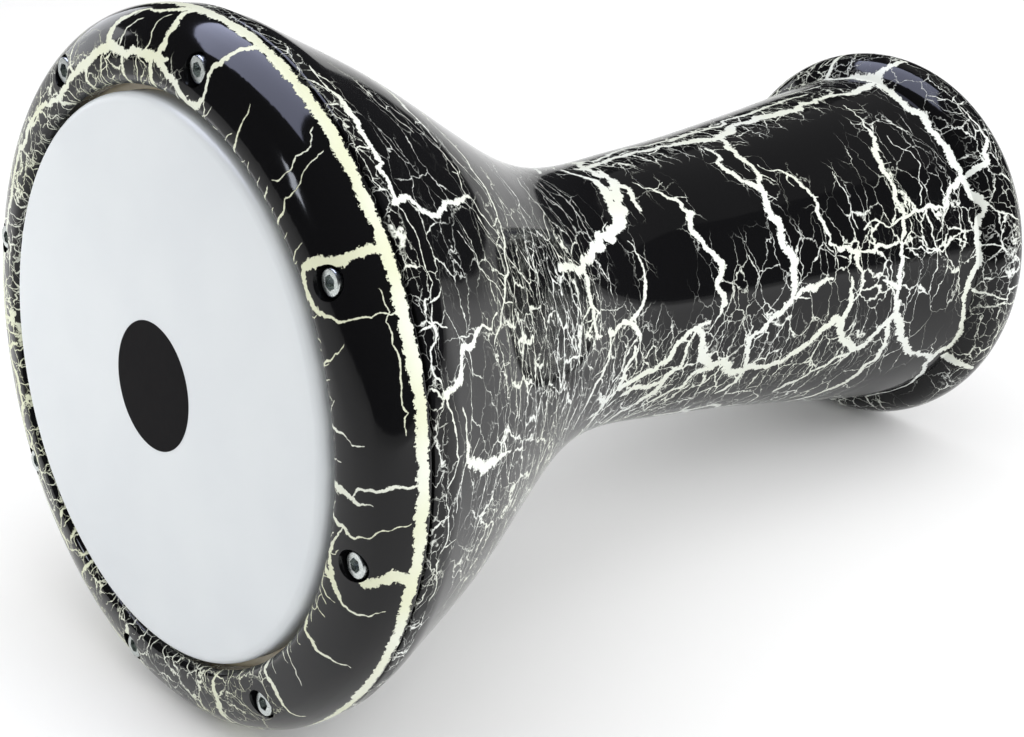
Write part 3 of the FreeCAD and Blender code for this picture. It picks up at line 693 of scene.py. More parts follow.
class TurnedFace:
    """The outside of a turned piece: places by degrees round it and millimetres along it."""

    def __init__(self, points, along):
        points = np.array(points, float)
        order = np.argsort(along)
        self.along = np.array(along, float)[order]
        self.radius, self.height = points[order].T
        slope = np.gradient(points[order], axis=0)
        slope /= np.linalg.norm(slope, axis=1)[:, None]
        self.out_r, self.out_h = slope[:, 1], -slope[:, 0]
        if self.out_r.mean() < 0:
            self.out_r, self.out_h = -self.out_r, -self.out_h

    def at(self, degrees, along):
        """Places and outward normals, in millimetres on the upright drum."""
        turn = np.radians(degrees)
        r, h = np.interp(along, self.along, self.radius), np.interp(along, self.along, self.height)
        nr, nh = np.interp(along, self.along, self.out_r), np.interp(along, self.along, self.out_h)
        return (np.column_stack([r * np.cos(turn), r * np.sin(turn), h]),
                np.column_stack([nr * np.cos(turn), nr * np.sin(turn), nh]))

    def scale(self, along):
        """Millimetres for one degree round the piece."""
        return math.radians(float(np.interp(along, self.along, self.radius)))


def roughen(path, face, rng, wander=0.13, levels=5):
    """The path with the middle of each leg pushed sideways at random, over and over."""
    path = [tuple(p) for p in path]
    for _ in range(levels):
        finer = [path[0]]
        for a, b in zip(path, path[1:]):
            scale = face.scale((a[1] + b[1]) / 2)
            du, dv = (b[0] - a[0]) * scale, b[1] - a[1]
            push = rng.normal() * wander
            thick = (a[2] + b[2]) / 2 * (1 + rng.normal() * 0.12)
            if math.hypot(du, dv) > 1.2:
                finer.append(((a[0] + b[0]) / 2 - dv * push / scale, (a[1] + b[1]) / 2 + du * push, thick))
            finer.append(b)
        path = finer
    return np.array(path)


def slimmed(path):
    """The same path with its thin stretches drawn thinner still, as a fine crack opens less."""
    return [(degrees, along, width * min(0.88, max(0.45, width / 2.7))) for degrees, along, width in path]


def side_cracks(path, face, rng, chance=0.02):
    """Short thin cracks that leave a path on either side."""
    cracks = []
    for i in range(2, len(path) - 2):
        if rng.random() > chance:
            continue
        scale = face.scale(path[i, 1])
        du, dv = (path[i + 1, 0] - path[i - 1, 0]) * scale, path[i + 1, 1] - path[i - 1, 1]
        turn = math.atan2(dv, du) + rng.choice([-1, 1]) * rng.uniform(0.8, 1.7)
        length, thick = rng.uniform(3, 12), rng.uniform(0.4, 0.85)
        spot, crack = path[i, :2].copy(), []
        for step in range(4):
            crack.append((spot[0], spot[1], thick * (1 - step * 0.2)))
            turn += rng.normal() * 0.35
            spot = spot + length / 3 * np.array([math.cos(turn) / scale, math.sin(turn)])
        cracks.append(crack)
    return cracks


def samples(path, face, step=0.9):
    """Points no further apart than step along a path: place, direction, normal, half width."""
    place, _ = face.at(path[:, 0], path[:, 1])
    gaps = np.linalg.norm(np.diff(place, axis=0), axis=1)
    run = np.concatenate([[0], np.cumsum(gaps)])
    want = np.linspace(0, run[-1], max(2, math.ceil(run[-1] / step) + 1))
    degrees, along, width = (np.interp(want, run, path[:, i]) for i in range(3))
    place, normal = face.at(degrees, along)
    ahead = np.gradient(place, axis=0)
    ahead /= np.maximum(np.linalg.norm(ahead, axis=1), 1e-9)[:, None]
    return place, ahead, normal, width / 2


def layered(paths, face):
    """Sorts paths into layers in which they keep clear of each other."""
    layers = [[] for _ in range(LAYERS)]
    left_out = 0
    for path in sorted(paths, key=lambda p: -len(p)):
        item = samples(path, face)
        for layer in layers:
            clear = CLEAR + item[3].max() * 2
            if all(np.min(np.linalg.norm(item[0][:, None] - other[0][None, ::3],
                                         axis=2)) > clear for other in layer):
                layer.append(item)
                break
        else:
            left_out += 1
    return layers, left_out


def paint_cracks(mesh, paths, face):
    """Writes the layers on the mesh: signed distance and half width, in millimetres."""
    layers, left_out = layered(paths, face)
    co = vertex_places(mesh)
    nearest_any = np.full(len(co), REACH)
    for number, layer in enumerate(layers, 1):
        values = np.zeros((len(co), 3))
        values[:, 0], values[:, 1] = 10.0, -10.0
        if layer:
            place, ahead, normal, half = (np.concatenate([item[k] for item in layer]) for k in range(4))
            kd = tree_of(place)
            box_low, box_high = place.min(axis=0) - REACH, place.max(axis=0) + REACH
            near = np.nonzero(((co > box_low) & (co < box_high)).all(axis=1))[0]
            for v in near:
                _, i, far = kd.find(co[v])
                if far > REACH:
                    continue
                gap = co[v] - place[i]
                along = abs(float(gap @ ahead[i]))
                across = float(gap @ np.cross(normal[i], ahead[i]))
                off = abs(float(gap @ normal[i]))
                past_end, past_side = max(0.0, along - 0.7), max(0.0, abs(across) - 2.5 - half[i])
                width = half[i] - 1.1 * past_end - 2 * past_side - max(0.0, off - 2.5)
                values[v] = across, width, 0.0
                nearest_any[v] = min(nearest_any[v], far)
        attribute = mesh.attributes.new("crack_%d" % number, "FLOAT_VECTOR", "POINT")
        attribute.data.foreach_set("vector", values.ravel())
    return nearest_any, [len(layer) for layer in layers], left_out


# %% [markdown]
# The far side of the drum is cracked like the near one. Its wide cracks are drawn by chance with a
# fixed seed: each starts at a random place and walks on with small changes of direction.

# %% Wide cracks by chance on the far side
def walk(rng, start, heading, length, width, face, stay):
    """A crack that wanders from start; stay is the lowest and highest place along the piece."""
    spot, path, drift = np.array(start, float), [], heading
    for step in range(int(length / 9) + 2):
        end = min(step, int(length / 9) + 1 - step)
        path.append((spot[0], spot[1], width * min(1.0, 0.45 + 0.3 * end) * rng.uniform(0.75, 1.25)))
        drift += rng.normal() * 0.4
        drift += 0.3 * math.sin(heading - drift)
        spot = spot + 9 * np.array([math.cos(drift) / face.scale(spot[1]), math.sin(drift)])
        if not stay[0] < spot[1] < stay[1]:
            break
    return path


def far_cracks(rng, face, count, angles, stay, width, across=0.35):
    """Cracks that mostly run round the piece, and some along it."""
    paths = []
    for _ in range(count):
        heading = rng.choice([0, math.pi]) + rng.normal() * 0.3
        if rng.random() < across:
            heading = rng.choice([-1, 1]) * math.pi / 2 + rng.normal() * 0.3
        start = (rng.uniform(*angles), rng.uniform(*stay))
        path = walk(rng, start, heading, rng.uniform(35, 150), width * rng.uniform(0.4, 1.3), face, stay)
        if len(path) > 2:
            paths.append(path)
    return paths


# %% [markdown]
# ### The lacquer's nodes
#
# The material reads the stored cracks, wobbles their edges with noise, and adds three nets of
# Voronoi cell edges. The cells are stretched round the drum, as the coat shrank along it, and a
# net shows only where the mesh asks for it. One mask then chooses between black gloss and dry
# cream, and the same mask sinks the cracks a little with Bump.

# %% Maths nodes in fewer words
def maths(tree, operation, first, second=0.0, third=0.0, clamp=False):
    return add(tree, "ShaderNodeMath", {0: first, 1: second, 2: third}, operation=operation,
               use_clamp=clamp).outputs[0]


def vector_maths(tree, operation, first, second=(0, 0, 0)):
    return add(tree, "ShaderNodeVectorMath", {0: first, 1: second}, operation=operation).outputs[0]


def noise(tree, where, size, detail=2.0, colour=False, roughness=0.55):
    """Noise whose lumps are about this many millimetres across."""
    node = add(tree, "ShaderNodeTexNoise",
               {"Vector": where, "Scale": 1 / size, "Detail": detail, "Roughness": roughness})
    return node.outputs["Color" if colour else 0]


def centred(tree, value, reach):
    """Noise shifted to run from minus to plus reach."""
    return maths(tree, "MULTIPLY_ADD", value, 2 * reach, -reach)


def ramp(tree, value, low, high, start=0.0, end=1.0):
    return add(tree, "ShaderNodeMapRange",
               {"Value": value, "From Min": low, "From Max": high, "To Min": start, "To Max": end},
               interpolation_type="SMOOTHSTEP").outputs[0]


def mixed(tree, factor, first, second):
    """A colour or a number between two others."""
    if isinstance(first, (int, float)):
        return add(tree, "ShaderNodeMix", {0: factor, 2: first, 3: second}, data_type="FLOAT").outputs[0]
    return add(tree, "ShaderNodeMix", {0: factor, 6: first, 7: second}, data_type="RGBA").outputs[2]


def new_material(title):
    """An empty material with its shader and output in place."""
    material = bpy.data.materials.new(title)
    material.use_nodes = True
    tree = material.node_tree
    tree.nodes.clear()
    shader = add(tree, "ShaderNodeBsdfPrincipled")
    add(tree, "ShaderNodeOutputMaterial", {"Surface": shader.outputs[0]})
    return material, tree, shader.inputs


def drum_place(tree):
    """Places on the upright drum in millimetres, from the piece's own coordinates."""
    place, turn, _ = lay_down.decompose()
    own = add(tree, "ShaderNodeTexCoord").outputs["Object"]
    return add(tree, "ShaderNodeMapping",
               {"Vector": own, "Location": place, "Rotation": turn.to_euler(), "Scale": (MM, MM, MM)},
               vector_type="TEXTURE").outputs[0]


SHINE = 0.28               # the lacquer's specular level
CRACK_SINKS, RIPPLE = -0.22, 0.5
NET_STRETCH, NET_BEND, NET_SHIVER = (0.52, 0.52, 1.0), 11.0, 2.4
EDGE = 0.14                # how softly lacquer gives way to the base coat, mm
BLACK, BLACK_ROUGHNESS = (0.0045, 0.0045, 0.0050, 1), 0.075
CREAM, IVORY, WHITE = (0.640, 0.660, 0.485, 1), (0.690, 0.715, 0.630, 1), (0.720, 0.745, 0.715, 1)
NETS = ((34.0, 0.56, 14.0, 0.0), (9.5, 0.52, 9.0, 0.15), (4.6, 0.28, 6.0, -0.2))   # cell, line, patch, least


# %% [markdown]
# No crack or hairline is drawn on the walls of the screw pockets, so they stay plain black. Every
# pocket is the same distance from the axis, so one eighth of a turn is folded over the others and the
# distance to a single axis is enough.

# %% Leave the pockets black
def open_surface(tree, where):
    """One outside the screw pockets and nought in them, from the distance to the nearest bolt's axis."""
    parts = add(tree, "ShaderNodeSeparateXYZ", {0: where}).outputs
    sector = math.tau / BOLT_COUNT
    turn = maths(tree, "SUBTRACT", maths(tree, "ARCTAN2", parts[1], parts[0]), FIRST_BOLT)
    turn = maths(tree, "WRAP", turn, sector / 2, -sector / 2)
    level = add(tree, "ShaderNodeCombineXYZ", {0: parts[0], 1: parts[1]}).outputs[0]
    radius = add(tree, "ShaderNodeVectorMath", {0: level}, operation="LENGTH").outputs["Value"]
    out = maths(tree, "MULTIPLY_ADD", radius, maths(tree, "COSINE", turn), -BOLT_CIRCLE)
    aside = maths(tree, "MULTIPLY", radius, maths(tree, "SINE", turn))
    gap = maths(tree, "SQRT", maths(tree, "MULTIPLY_ADD", out, out, maths(tree, "MULTIPLY", aside, aside)))
    return maths(tree, "GREATER_THAN", gap, POCKET_RADIUS + 0.04)


# %% [markdown]
# A crack's edge is torn, not cut. Noise added to the stored half width moves the edge in and out,
# less on a thin crack, so that it isn't broken up.

# %% Wide cracks and hairline nets
def wide_cracks(tree, wobble):
    """The painted cracks, layer by layer, with their edges pushed in and out by the wobble."""
    covers = []
    for number in range(1, LAYERS + 1):
        stored = add(tree, "ShaderNodeAttribute", attribute_name="crack_%d" % number).outputs["Vector"]
        parts = add(tree, "ShaderNodeSeparateXYZ", {0: stored}).outputs
        gap = maths(tree, "ABSOLUTE", parts[0])
        share = maths(tree, "MINIMUM", maths(tree, "MULTIPLY_ADD", parts[1], 0.75, 0.1), 1.5)
        edge = maths(tree, "MULTIPLY_ADD", wobble, share, parts[1])
        covers.append(ramp(tree, maths(tree, "SUBTRACT", edge, gap), -EDGE, EDGE))
    return covers


def hairline_nets(tree, where, teeth):
    """Three nets of Voronoi cell edges, long round the drum; the mesh says how dense each one is."""
    net = add(tree, "ShaderNodeAttribute", attribute_name="hairlines").outputs["Vector"]
    density = add(tree, "ShaderNodeSeparateXYZ", {0: net}).outputs
    bend = vector_maths(tree, "SUBTRACT", noise(tree, where, 16.0, 3.0, colour=True), (0.5, 0.5, 0.5))
    bend = add(tree, "ShaderNodeVectorMath", {0: bend, "Scale": NET_BEND}, operation="SCALE").outputs[0]
    shiver = vector_maths(tree, "SUBTRACT", noise(tree, where, 2.2, 2.0, colour=True), (0.5, 0.5, 0.5))
    shiver = add(tree, "ShaderNodeVectorMath", {0: shiver, "Scale": NET_SHIVER}, operation="SCALE").outputs[0]
    bent = vector_maths(tree, "ADD", vector_maths(tree, "ADD", where, bend), shiver)
    stretched = vector_maths(tree, "MULTIPLY", bent, NET_STRETCH)
    covers = []
    for index, (cell, line, patch, least) in enumerate(NETS):
        shifted = vector_maths(tree, "ADD", stretched, (17.0 * index, 5.0, 3.0 * index))
        edges = add(tree, "ShaderNodeTexVoronoi", {"Vector": shifted, "Scale": 1 / cell, "Randomness": 1.0},
                    feature="DISTANCE_TO_EDGE")
        gap = maths(tree, "MULTIPLY", edges.outputs["Distance"], cell)
        uneven = ramp(tree, noise(tree, where, patch, 3.0), 0.36, 0.62, least, 1.45)
        wanted = maths(tree, "MULTIPLY", maths(tree, "MULTIPLY", uneven, density[index]), line * 0.5)
        opened = maths(tree, "ADD", maths(tree, "SUBTRACT", wanted, gap),
                       maths(tree, "MULTIPLY", teeth, 0.08))
        seen = ramp(tree, density[index], 0.05, 0.25)
        covers.append(maths(tree, "MULTIPLY", ramp(tree, opened, -EDGE, EDGE), seen))
    return covers


# %% [markdown]
# The shell's base coat is nearly white and the ring's is cream, so one function makes both
# materials and takes the colours as values.

# %% The whole lacquer
def crackle(title, lumpy, toothed, base, base_too, pockets=False):
    """The two-coat crackle lacquer; the wide cracks' edges wobble by lumpy and toothed millimetres."""
    material, tree, shader = new_material(title)
    where = drum_place(tree)
    lumps = centred(tree, noise(tree, where, 5.0, 2.0), lumpy)
    teeth = centred(tree, noise(tree, where, 1.3, 4.0, roughness=0.65), toothed)
    covers = wide_cracks(tree, maths(tree, "ADD", lumps, teeth)) + hairline_nets(tree, where, teeth)
    mask = covers[0]
    for cover in covers[1:]:
        mask = maths(tree, "MAXIMUM", mask, cover)
    if pockets:
        mask = maths(tree, "MULTIPLY", mask, open_surface(tree, where))
    under = mixed(tree, ramp(tree, noise(tree, where, 45.0, 1.0), 0.35, 0.65), base, base_too)
    tree.links.new(mixed(tree, mask, BLACK, under), shader["Base Color"])
    tree.links.new(mixed(tree, mask, BLACK_ROUGHNESS, 0.42), shader["Roughness"])
    shader["Specular IOR Level"].default_value = SHINE
    ripple = noise(tree, where, 22.0, 1.0)
    level = maths(tree, "MULTIPLY_ADD", mask, CRACK_SINKS, maths(tree, "MULTIPLY", ripple, RIPPLE))
    sunk = add(tree, "ShaderNodeBump", {"Strength": 0.5, "Distance": 0.0005, "Height": level})
    tree.links.new(sunk.outputs[0], shader["Normal"])
    return material


shell_lacquer = crackle("Crackle lacquer on the shell", 0.9, 1.7, IVORY, WHITE)
ring_lacquer = crackle("Crackle lacquer on the ring", 0.3, 1.5, CREAM, IVORY, pockets=True)
print("each lacquer has", len(shell_lacquer.node_tree.nodes), "nodes")

# %% [markdown]
# ## The shell
#
# The casting is one solid: foot lip, tube, bowl, flange and the edge under the head. The tree
# turns it, adds eight bosses and drills eight blind holes for the brass inserts. Then its wide
# cracks and the density of its three hairline nets are painted on its points.

# %% Turn the shell
def no_holes():
    """Sizes that leave a turned piece without bosses, pockets or holes."""
    return dict(Boss_Radius=0.0, Boss_Low=0.0, Boss_High=0.01)


core_section = section_object("core_section", core_profile)
shell_wire = section_object("shell_section", shell_profile)
shell = grow("lacquered_shell", turned, Section=shell_wire, Core=core_section, Sides=SHELL_SIDES,
             Finish=shell_lacquer,
             Bolt_Count=BOLT_COUNT, Bolt_Circle=BOLT_CIRCLE * MM, First_Angle=FIRST_BOLT,
             Boss_Radius=BOSS_RADIUS * MM, Boss_Low=BOSS_BOTTOM * MM, Boss_High=(WEB_UNDERSIDE + 1) * MM,
             Pocket_Radius=INSERT_SEAT * MM, Pocket_Low=INSERT_BOTTOM * MM, Pocket_High=(FLANGE_TOP + 1) * MM,
             Hole_Radius=BLIND_RADIUS * MM, Hole_Low=BLIND_BOTTOM * MM, Hole_High=(INSERT_BOTTOM + 1) * MM)
smooth_corners, corners = shade_turned(shell, shell_profile)
print("shell:", len(shell.data.vertices), "points,", smooth_corners, "of", corners, "corners on smooth faces")

# %% [markdown]
# The hairlines are thick in some places and missing in others: the coat cracks finely where it was
# laid on thin. They could be painted by hand, but a few soft round patches, each with an amount for
# every net, are shorter to write and easy to move.

# %% Where hairlines are dense
# (degrees, height, half width in degrees, half width in height, coarse, medium, fine)
SHELL_HAIRLINES = [
    (-88, 318, 46, 56, .6, 1.0, .45), (-74, 285, 34, 36, .4, 1.1, .5), (-100, 360, 24, 34, .4, .8, .3),
    (-32, 330, 46, 66, .4, .08, 0), (-30, 262, 36, 22, .3, .2, 0), (-60, 388, 30, 12, .4, .45, .1),
    (-72, 66, 24, 60, .9, .9, .1), (-38, 62, 20, 30, .5, .2, 0), (-75, 150, 24, 54, .4, .35, 0),
    (-110, 150, 26, 96, .7, .8, .2), (-100, 245, 28, 34, .6, .9, .3), (4, 150, 16, 110, .8, .8, .2),
    (-80, 14, 70, 13, .5, .8, .3), (-20, 14, 40, 13, .4, .3, 0), (-75, 407, 160, 4, .2, .7, .3),
    (10, 330, 22, 86, .7, .6, .2),
]


FAR_SPOTS = 34             # patches of hairlines by chance on the far side


def hairline_density(mesh, places, rng, along_range, far=(30, 225), reach_of_cracks=None):
    """Writes how dense the coarse, medium and fine nets are at each point of a turned piece."""
    co = vertex_places(mesh)
    degrees = np.degrees(np.arctan2(co[:, 1], co[:, 0]))
    radius = np.hypot(co[:, 0], co[:, 1])
    along = along_range(radius, co[:, 2])
    values = np.zeros((len(co), 3))
    spots = list(places)
    low, high = along.min(), along.max()
    for _ in range(FAR_SPOTS):
        spots.append((rng.uniform(*far), rng.uniform(low, high), rng.uniform(14, 40),
                      (high - low) * rng.uniform(.06, .2),
                      rng.uniform(.3, .9), rng.uniform(.3, 1.1), rng.uniform(0, 1.1)))
    for angle, height, wide, tall, *amounts in spots:
        turn = (degrees - angle + 180) % 360 - 180
        share = np.clip(1.35 - np.hypot(turn / wide, (along - height) / tall), 0, 1)[:, None]
        values = np.maximum(values, np.array(amounts) * share * share * (3 - 2 * share))
    if reach_of_cracks is not None:
        near = np.clip(1 - reach_of_cracks / REACH, 0, 1)
        values[:, 1] = np.maximum(values[:, 1], 0.24 * near)
    attribute = mesh.attributes.new("hairlines", "FLOAT_VECTOR", "POINT")
    attribute.data.foreach_set("vector", values.ravel())
    return values.mean(axis=0)


def shell_face():
    """The shell's outside, by height."""
    outside = [p for p in shell_profile if 2 < p[1] < FLANGE_TOP - 0.5]
    best = {}
    for r, h in outside:
        key = round(h / 1.9)
        if key not in best or r > best[key][0]:
            best[key] = (r, h)
    kept = np.array([best[k] for k in sorted(best)])
    return TurnedFace(kept, kept[:, 1])


SHELL_SEED = 7
draw = np.random.default_rng(SHELL_SEED)
outside = shell_face()
paths = [roughen(slimmed(p), outside, draw) for p in SHELL_CRACKS]
far = far_cracks(draw, outside, 26, (35, 215), (32, 200), 3.2) + far_cracks(draw, outside, 30, (35, 228),
                                                                            (206, 398), 2.6, 0.3)
far += far_cracks(draw, outside, 7, (-10, 30), (240, 395), 1.8, 0.6)
paths += [roughen(p, outside, draw) for p in far]
paths += [roughen(c, outside, draw, levels=3) for p in list(paths) for c in side_cracks(p, outside, draw)]
distance, packed, left_out = paint_cracks(shell.data, paths, outside)
density = hairline_density(shell.data, SHELL_HAIRLINES, draw, lambda r, h: h, reach_of_cracks=distance)
print("shell cracks in layers", packed, "left out", left_out, "mean density", density.round(2))

# %% [markdown]
# The shell was drawn upright. Now the matrix from the first step lays it down, one call says which
# body it rides with, and one hides the CAD piece that it stands for.

# %% Lay the shell down
lay(shell)
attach(shell, "drum_body")
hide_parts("shell")

# %% [markdown]
# ## The tuning ring
#
# The ring pulls the hoop down over the head's edge. Each screw sits in a pocket cut through the
# ring's slope, with a hole below it.

# %% Turn the ring
ring_wire = section_object("ring_section", ring_profile)
ring = grow("lacquered_ring", turned, Section=ring_wire, Core=core_section, Sides=RING_SIDES,
            Finish=ring_lacquer,
            Bolt_Count=BOLT_COUNT, Bolt_Circle=BOLT_CIRCLE * MM, First_Angle=FIRST_BOLT,
            Pocket_Radius=POCKET_RADIUS * MM, Pocket_Low=POCKET_FLOOR * MM, Pocket_High=(HEIGHT + 1) * MM,
            Hole_Radius=BLIND_RADIUS * MM, Hole_Low=(RING_REAR - 1) * MM, Hole_High=(POCKET_FLOOR + 1) * MM,
            **no_holes())
smooth_corners, corners = shade_turned(ring, ring_profile)
print("ring:", len(ring.data.vertices), "points,", smooth_corners, "of", corners, "corners on smooth faces")

# %% [markdown]
# The ring is painted by the same functions as the shell. Only the way of telling places differs:
# its face turns over a crest, so height would name two places, and the length along its section is
# used instead. Short fine cracks run in from its lip at even steps.

# %% Crack the ring
RING_HAIRLINES = [
    (22, 9, 30, 12, .4, .5, .2), (80, 16, 55, 26, .6, .9, .5),
    (-168, 14, 26, 20, .4, .6, .2), (-147, 10, 10, 12, .3, .5, .2),
]


def along_ring(points):
    return np.concatenate([[0], np.cumsum(np.linalg.norm(np.diff(np.array(points), axis=0), axis=1))])


ring_along = along_ring(ring_face)
across_ring = TurnedFace(ring_face, ring_along)


def ring_place(radius, height):
    """How far across the ring's face a point lies."""
    face_points = np.array(ring_face)
    kd = tree_of(face_points)
    return np.array([ring_along[kd.find((r, h, 0))[1]] for r, h in zip(radius, height)])


RING_SEED = 11
draw = np.random.default_rng(RING_SEED)
paths = [roughen(RING_CRACKS[0], across_ring, draw, 0.02, 4)]
paths += [roughen(slimmed(p), across_ring, draw, 0.10, 4) for p in RING_CRACKS[1:]]
far = far_cracks(draw, across_ring, 34, (45, 195), (2, 36), 2.2, 0.75)
paths += [roughen(p, across_ring, draw, 0.12, 4) for p in far]
paths += [roughen(c, across_ring, draw, levels=3) for p in paths[len(RING_CRACKS):]
          for c in side_cracks(p, across_ring, draw, 0.012)]
lip_cracks = [[(a, .3, .5), (a + draw.normal() * .6, 3, .4),
               (a + draw.normal() * 1.2, 4 + draw.uniform(0, 5), .25)]
              for a in np.arange(-178, 180, 4.3)]
paths += [roughen(p, across_ring, draw, levels=3) for p in lip_cracks]
distance, packed, left_out = paint_cracks(ring.data, paths, across_ring)
density = hairline_density(ring.data, RING_HAIRLINES, draw, ring_place, (60, 200))
print("ring cracks in layers", packed, "left out", left_out, "mean density", density.round(2))

# %% [markdown]
# The ring rides with the body that slides along the drum, because tightening the screws pulls it
# down over the shell.

# %% Lay the ring down
lay(ring)
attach(ring, "ring_assembly")
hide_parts("tuning_ring")

# %% [markdown]
# ## The head
#
# The head is one thin plastic film: a flat disc, a rounded shoulder and a short skirt that hangs
# into the hoop. It is turned from a thin section, with a close set of points on the shoulder,
# because that is where it catches the light. Its milk-white plastic is satin, a little bluish, with
# a faint cloudiness.

# %% The film's section
FILM, SHOULDER_ROUND, SKIRT_BOTTOM = 0.35, 4.5, 422.1
PATCH_RADIUS, PATCH_THICKNESS = 25.5, 0.2


def film_section():
    top, bend = HEIGHT, (HEAD_RADIUS - SHOULDER_ROUND, HEIGHT - SHOULDER_ROUND)
    section = straight((CENTRE_HOLE, top), (bend[0], top), 6.0)
    section += round_about(bend, SHOULDER_ROUND, 90, 0, 0.5)
    section += straight((HEAD_RADIUS, bend[1]), (HEAD_RADIUS, SKIRT_BOTTOM), 2)
    section += straight((HEAD_RADIUS, SKIRT_BOTTOM), (HEAD_RADIUS - FILM, SKIRT_BOTTOM), 1)
    section += straight((HEAD_RADIUS - FILM, SKIRT_BOTTOM), (HEAD_RADIUS - FILM, bend[1]), 4)
    section += round_about(bend, SHOULDER_ROUND - FILM, 0, 90, 0.8)
    section += straight((bend[0], top - FILM), (CENTRE_HOLE, top - FILM), 30)
    return section + [(CENTRE_HOLE, top - FILM)]


def plain_turned(name, profile, sides, finish):
    """A turned piece with no holes, from a tree of its own."""
    tree, given, out = new_tree("Plain turned piece", Section="Object", Sides="Int", Finish="Material")
    finish_tree(tree, swept(tree, given["Section"], given["Sides"]), given["Finish"], out[0])
    wire = section_object(name + "_section", profile)
    piece = grow(name, tree, Section=wire, Sides=sides, Finish=finish)
    bpy.data.objects.remove(wire)
    close_poles(piece)
    shade_turned(piece, profile)
    return piece


# %% [markdown]
# The milk-white plastic lets a little light in and scatters it, but the shader is a plain surface
# without subsurface scattering. Faint clouds in its colour and roughness keep the disc from looking
# like paper.

# %% Milky plastic and black ink
def milky_plastic():
    material, tree, shader = new_material("Milky head plastic")
    where = drum_place(tree)
    cloud = ramp(tree, noise(tree, where, 55.0, 2.0), 0.3, 0.7)
    tree.links.new(mixed(tree, cloud, (0.60, 0.63, 0.655, 1), (0.63, 0.66, 0.68, 1)), shader["Base Color"])
    tree.links.new(mixed(tree, cloud, 0.30, 0.36), shader["Roughness"])
    shader["Specular IOR Level"].default_value = 0.4
    grain = noise(tree, where, 0.35, 2.0)
    sunk = add(tree, "ShaderNodeBump", {"Strength": 0.08, "Distance": 0.0002, "Height": grain})
    tree.links.new(sunk.outputs[0], shader["Normal"])
    return material


def black_ink():
    material, tree, shader = new_material("Black printed ink")
    where = drum_place(tree)
    cloud = noise(tree, where, 3.0, 3.0)
    tree.links.new(mixed(tree, ramp(tree, cloud, 0.3, 0.7), (0.0040, 0.0036, 0.0044, 1),
                         (0.0065, 0.0060, 0.0066, 1)), shader["Base Color"])
    tree.links.new(mixed(tree, cloud, 0.46, 0.58), shader["Roughness"])
    shader["Specular IOR Level"].default_value = 0.03
    sunk = add(tree, "ShaderNodeBump", {"Strength": 0.1, "Distance": 0.0002,
                                        "Height": noise(tree, where, 0.4, 2.0)})
    tree.links.new(sunk.outputs[0], shader["Normal"])
    return material


# %% [markdown]
# The film and the round printed patch in its middle are both turned with the plain tree. The patch
# is a disc of its own, a fifth of a millimetre thick, so that its edge is crisp.

# %% Turn the film and its centre patch
head = plain_turned("milky_head", film_section(), 192, milky_plastic())
lay(head)
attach(head, "drum_body")
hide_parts("head_film")

patch_low = HEIGHT
patch_section = ([(CENTRE_HOLE, patch_low + PATCH_THICKNESS)]
                 + straight((PATCH_RADIUS - 0.1, patch_low + PATCH_THICKNESS),
                            (PATCH_RADIUS, patch_low + PATCH_THICKNESS - 0.1), 1)
                 + [(PATCH_RADIUS, patch_low + PATCH_THICKNESS - 0.1), (PATCH_RADIUS, patch_low),
                    (CENTRE_HOLE, patch_low)])
patch = plain_turned("ink_patch", patch_section, 128, black_ink())
lay(patch)
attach(patch, "drum_body")
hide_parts("centre_patch")
for piece in (head, patch):
    print(piece.name, [round(v / MM, 1) for v in piece.dimensions])


# %% [markdown]
# ## Screws and washers
#
# Eight hexagon-socket cap screws sit in the ring's pockets, each on a washer. All eight are the
# same screw, so one tree turns its section, cuts the hexagon and moves it to its place on the
# bolt circle. Each screw turns about its own axis, so each is kept as a mesh of its own. The
# washers all ride with the ring, so their tree repeats one washer round the circle.

# %% Plated steel, plain steel, resin and brass
def metal(title, colour, roughness, spread, grain, streak=(1, 1, 1)):
    """A metal whose roughness and tone vary in fine marks."""
    material, tree, shader = new_material(title)
    where = vector_maths(tree, "MULTIPLY", drum_place(tree), streak)
    marks = ramp(tree, noise(tree, where, grain, 4.0), 0.3, 0.7)
    darker = tuple(c * 0.72 for c in colour[:3]) + (1,)
    tree.links.new(mixed(tree, marks, darker, colour), shader["Base Color"])
    tree.links.new(mixed(tree, marks, roughness + spread, roughness - spread), shader["Roughness"])
    shader["Metallic"].default_value = 1.0
    sunk = add(tree, "ShaderNodeBump", {"Strength": 0.15, "Distance": 0.0001, "Height": marks})
    tree.links.new(sunk.outputs[0], shader["Normal"])
    return material


def cast_resin():
    material, tree, shader = new_material("Amber cast resin")
    where = drum_place(tree)
    cloud = noise(tree, where, 6.0, 3.0)
    tree.links.new(mixed(tree, cloud, (0.60, 0.50, 0.33, 1), (0.74, 0.66, 0.47, 1)), shader["Base Color"])
    tree.links.new(mixed(tree, cloud, 0.2, 0.3), shader["Roughness"])
    return material


zinc = metal("Zinc-plated steel", (0.62, 0.66, 0.64, 1), 0.30, 0.07, 0.6)
plain_steel = metal("Plain washer steel", (0.52, 0.53, 0.54, 1), 0.38, 0.08, 0.5)
hoop_steel = metal("Pressed hoop steel", (0.50, 0.51, 0.53, 1), 0.34, 0.08, 1.2, (0.3, 0.3, 1))
brass = metal("Turned brass", (0.80, 0.62, 0.30, 1), 0.28, 0.06, 0.8, (1, 1, 4))

# %% [markdown]
# A cap screw has a shank, a round head with a broken edge and a six-sided socket. The socket is a
# cylinder with six sides, taken away from the turned head, as a punch leaves it.

# %% A tree for the cap screws
BOLT_RADIUS, BOLT_TIP, BOLT_FACE, WASHER_TOP, BOLT_HEAD = 3.0, 395.3, 431.3, 425.3, 5.0
SOCKET_WIDTH, SOCKET_DEPTH = 5.0, 3.2


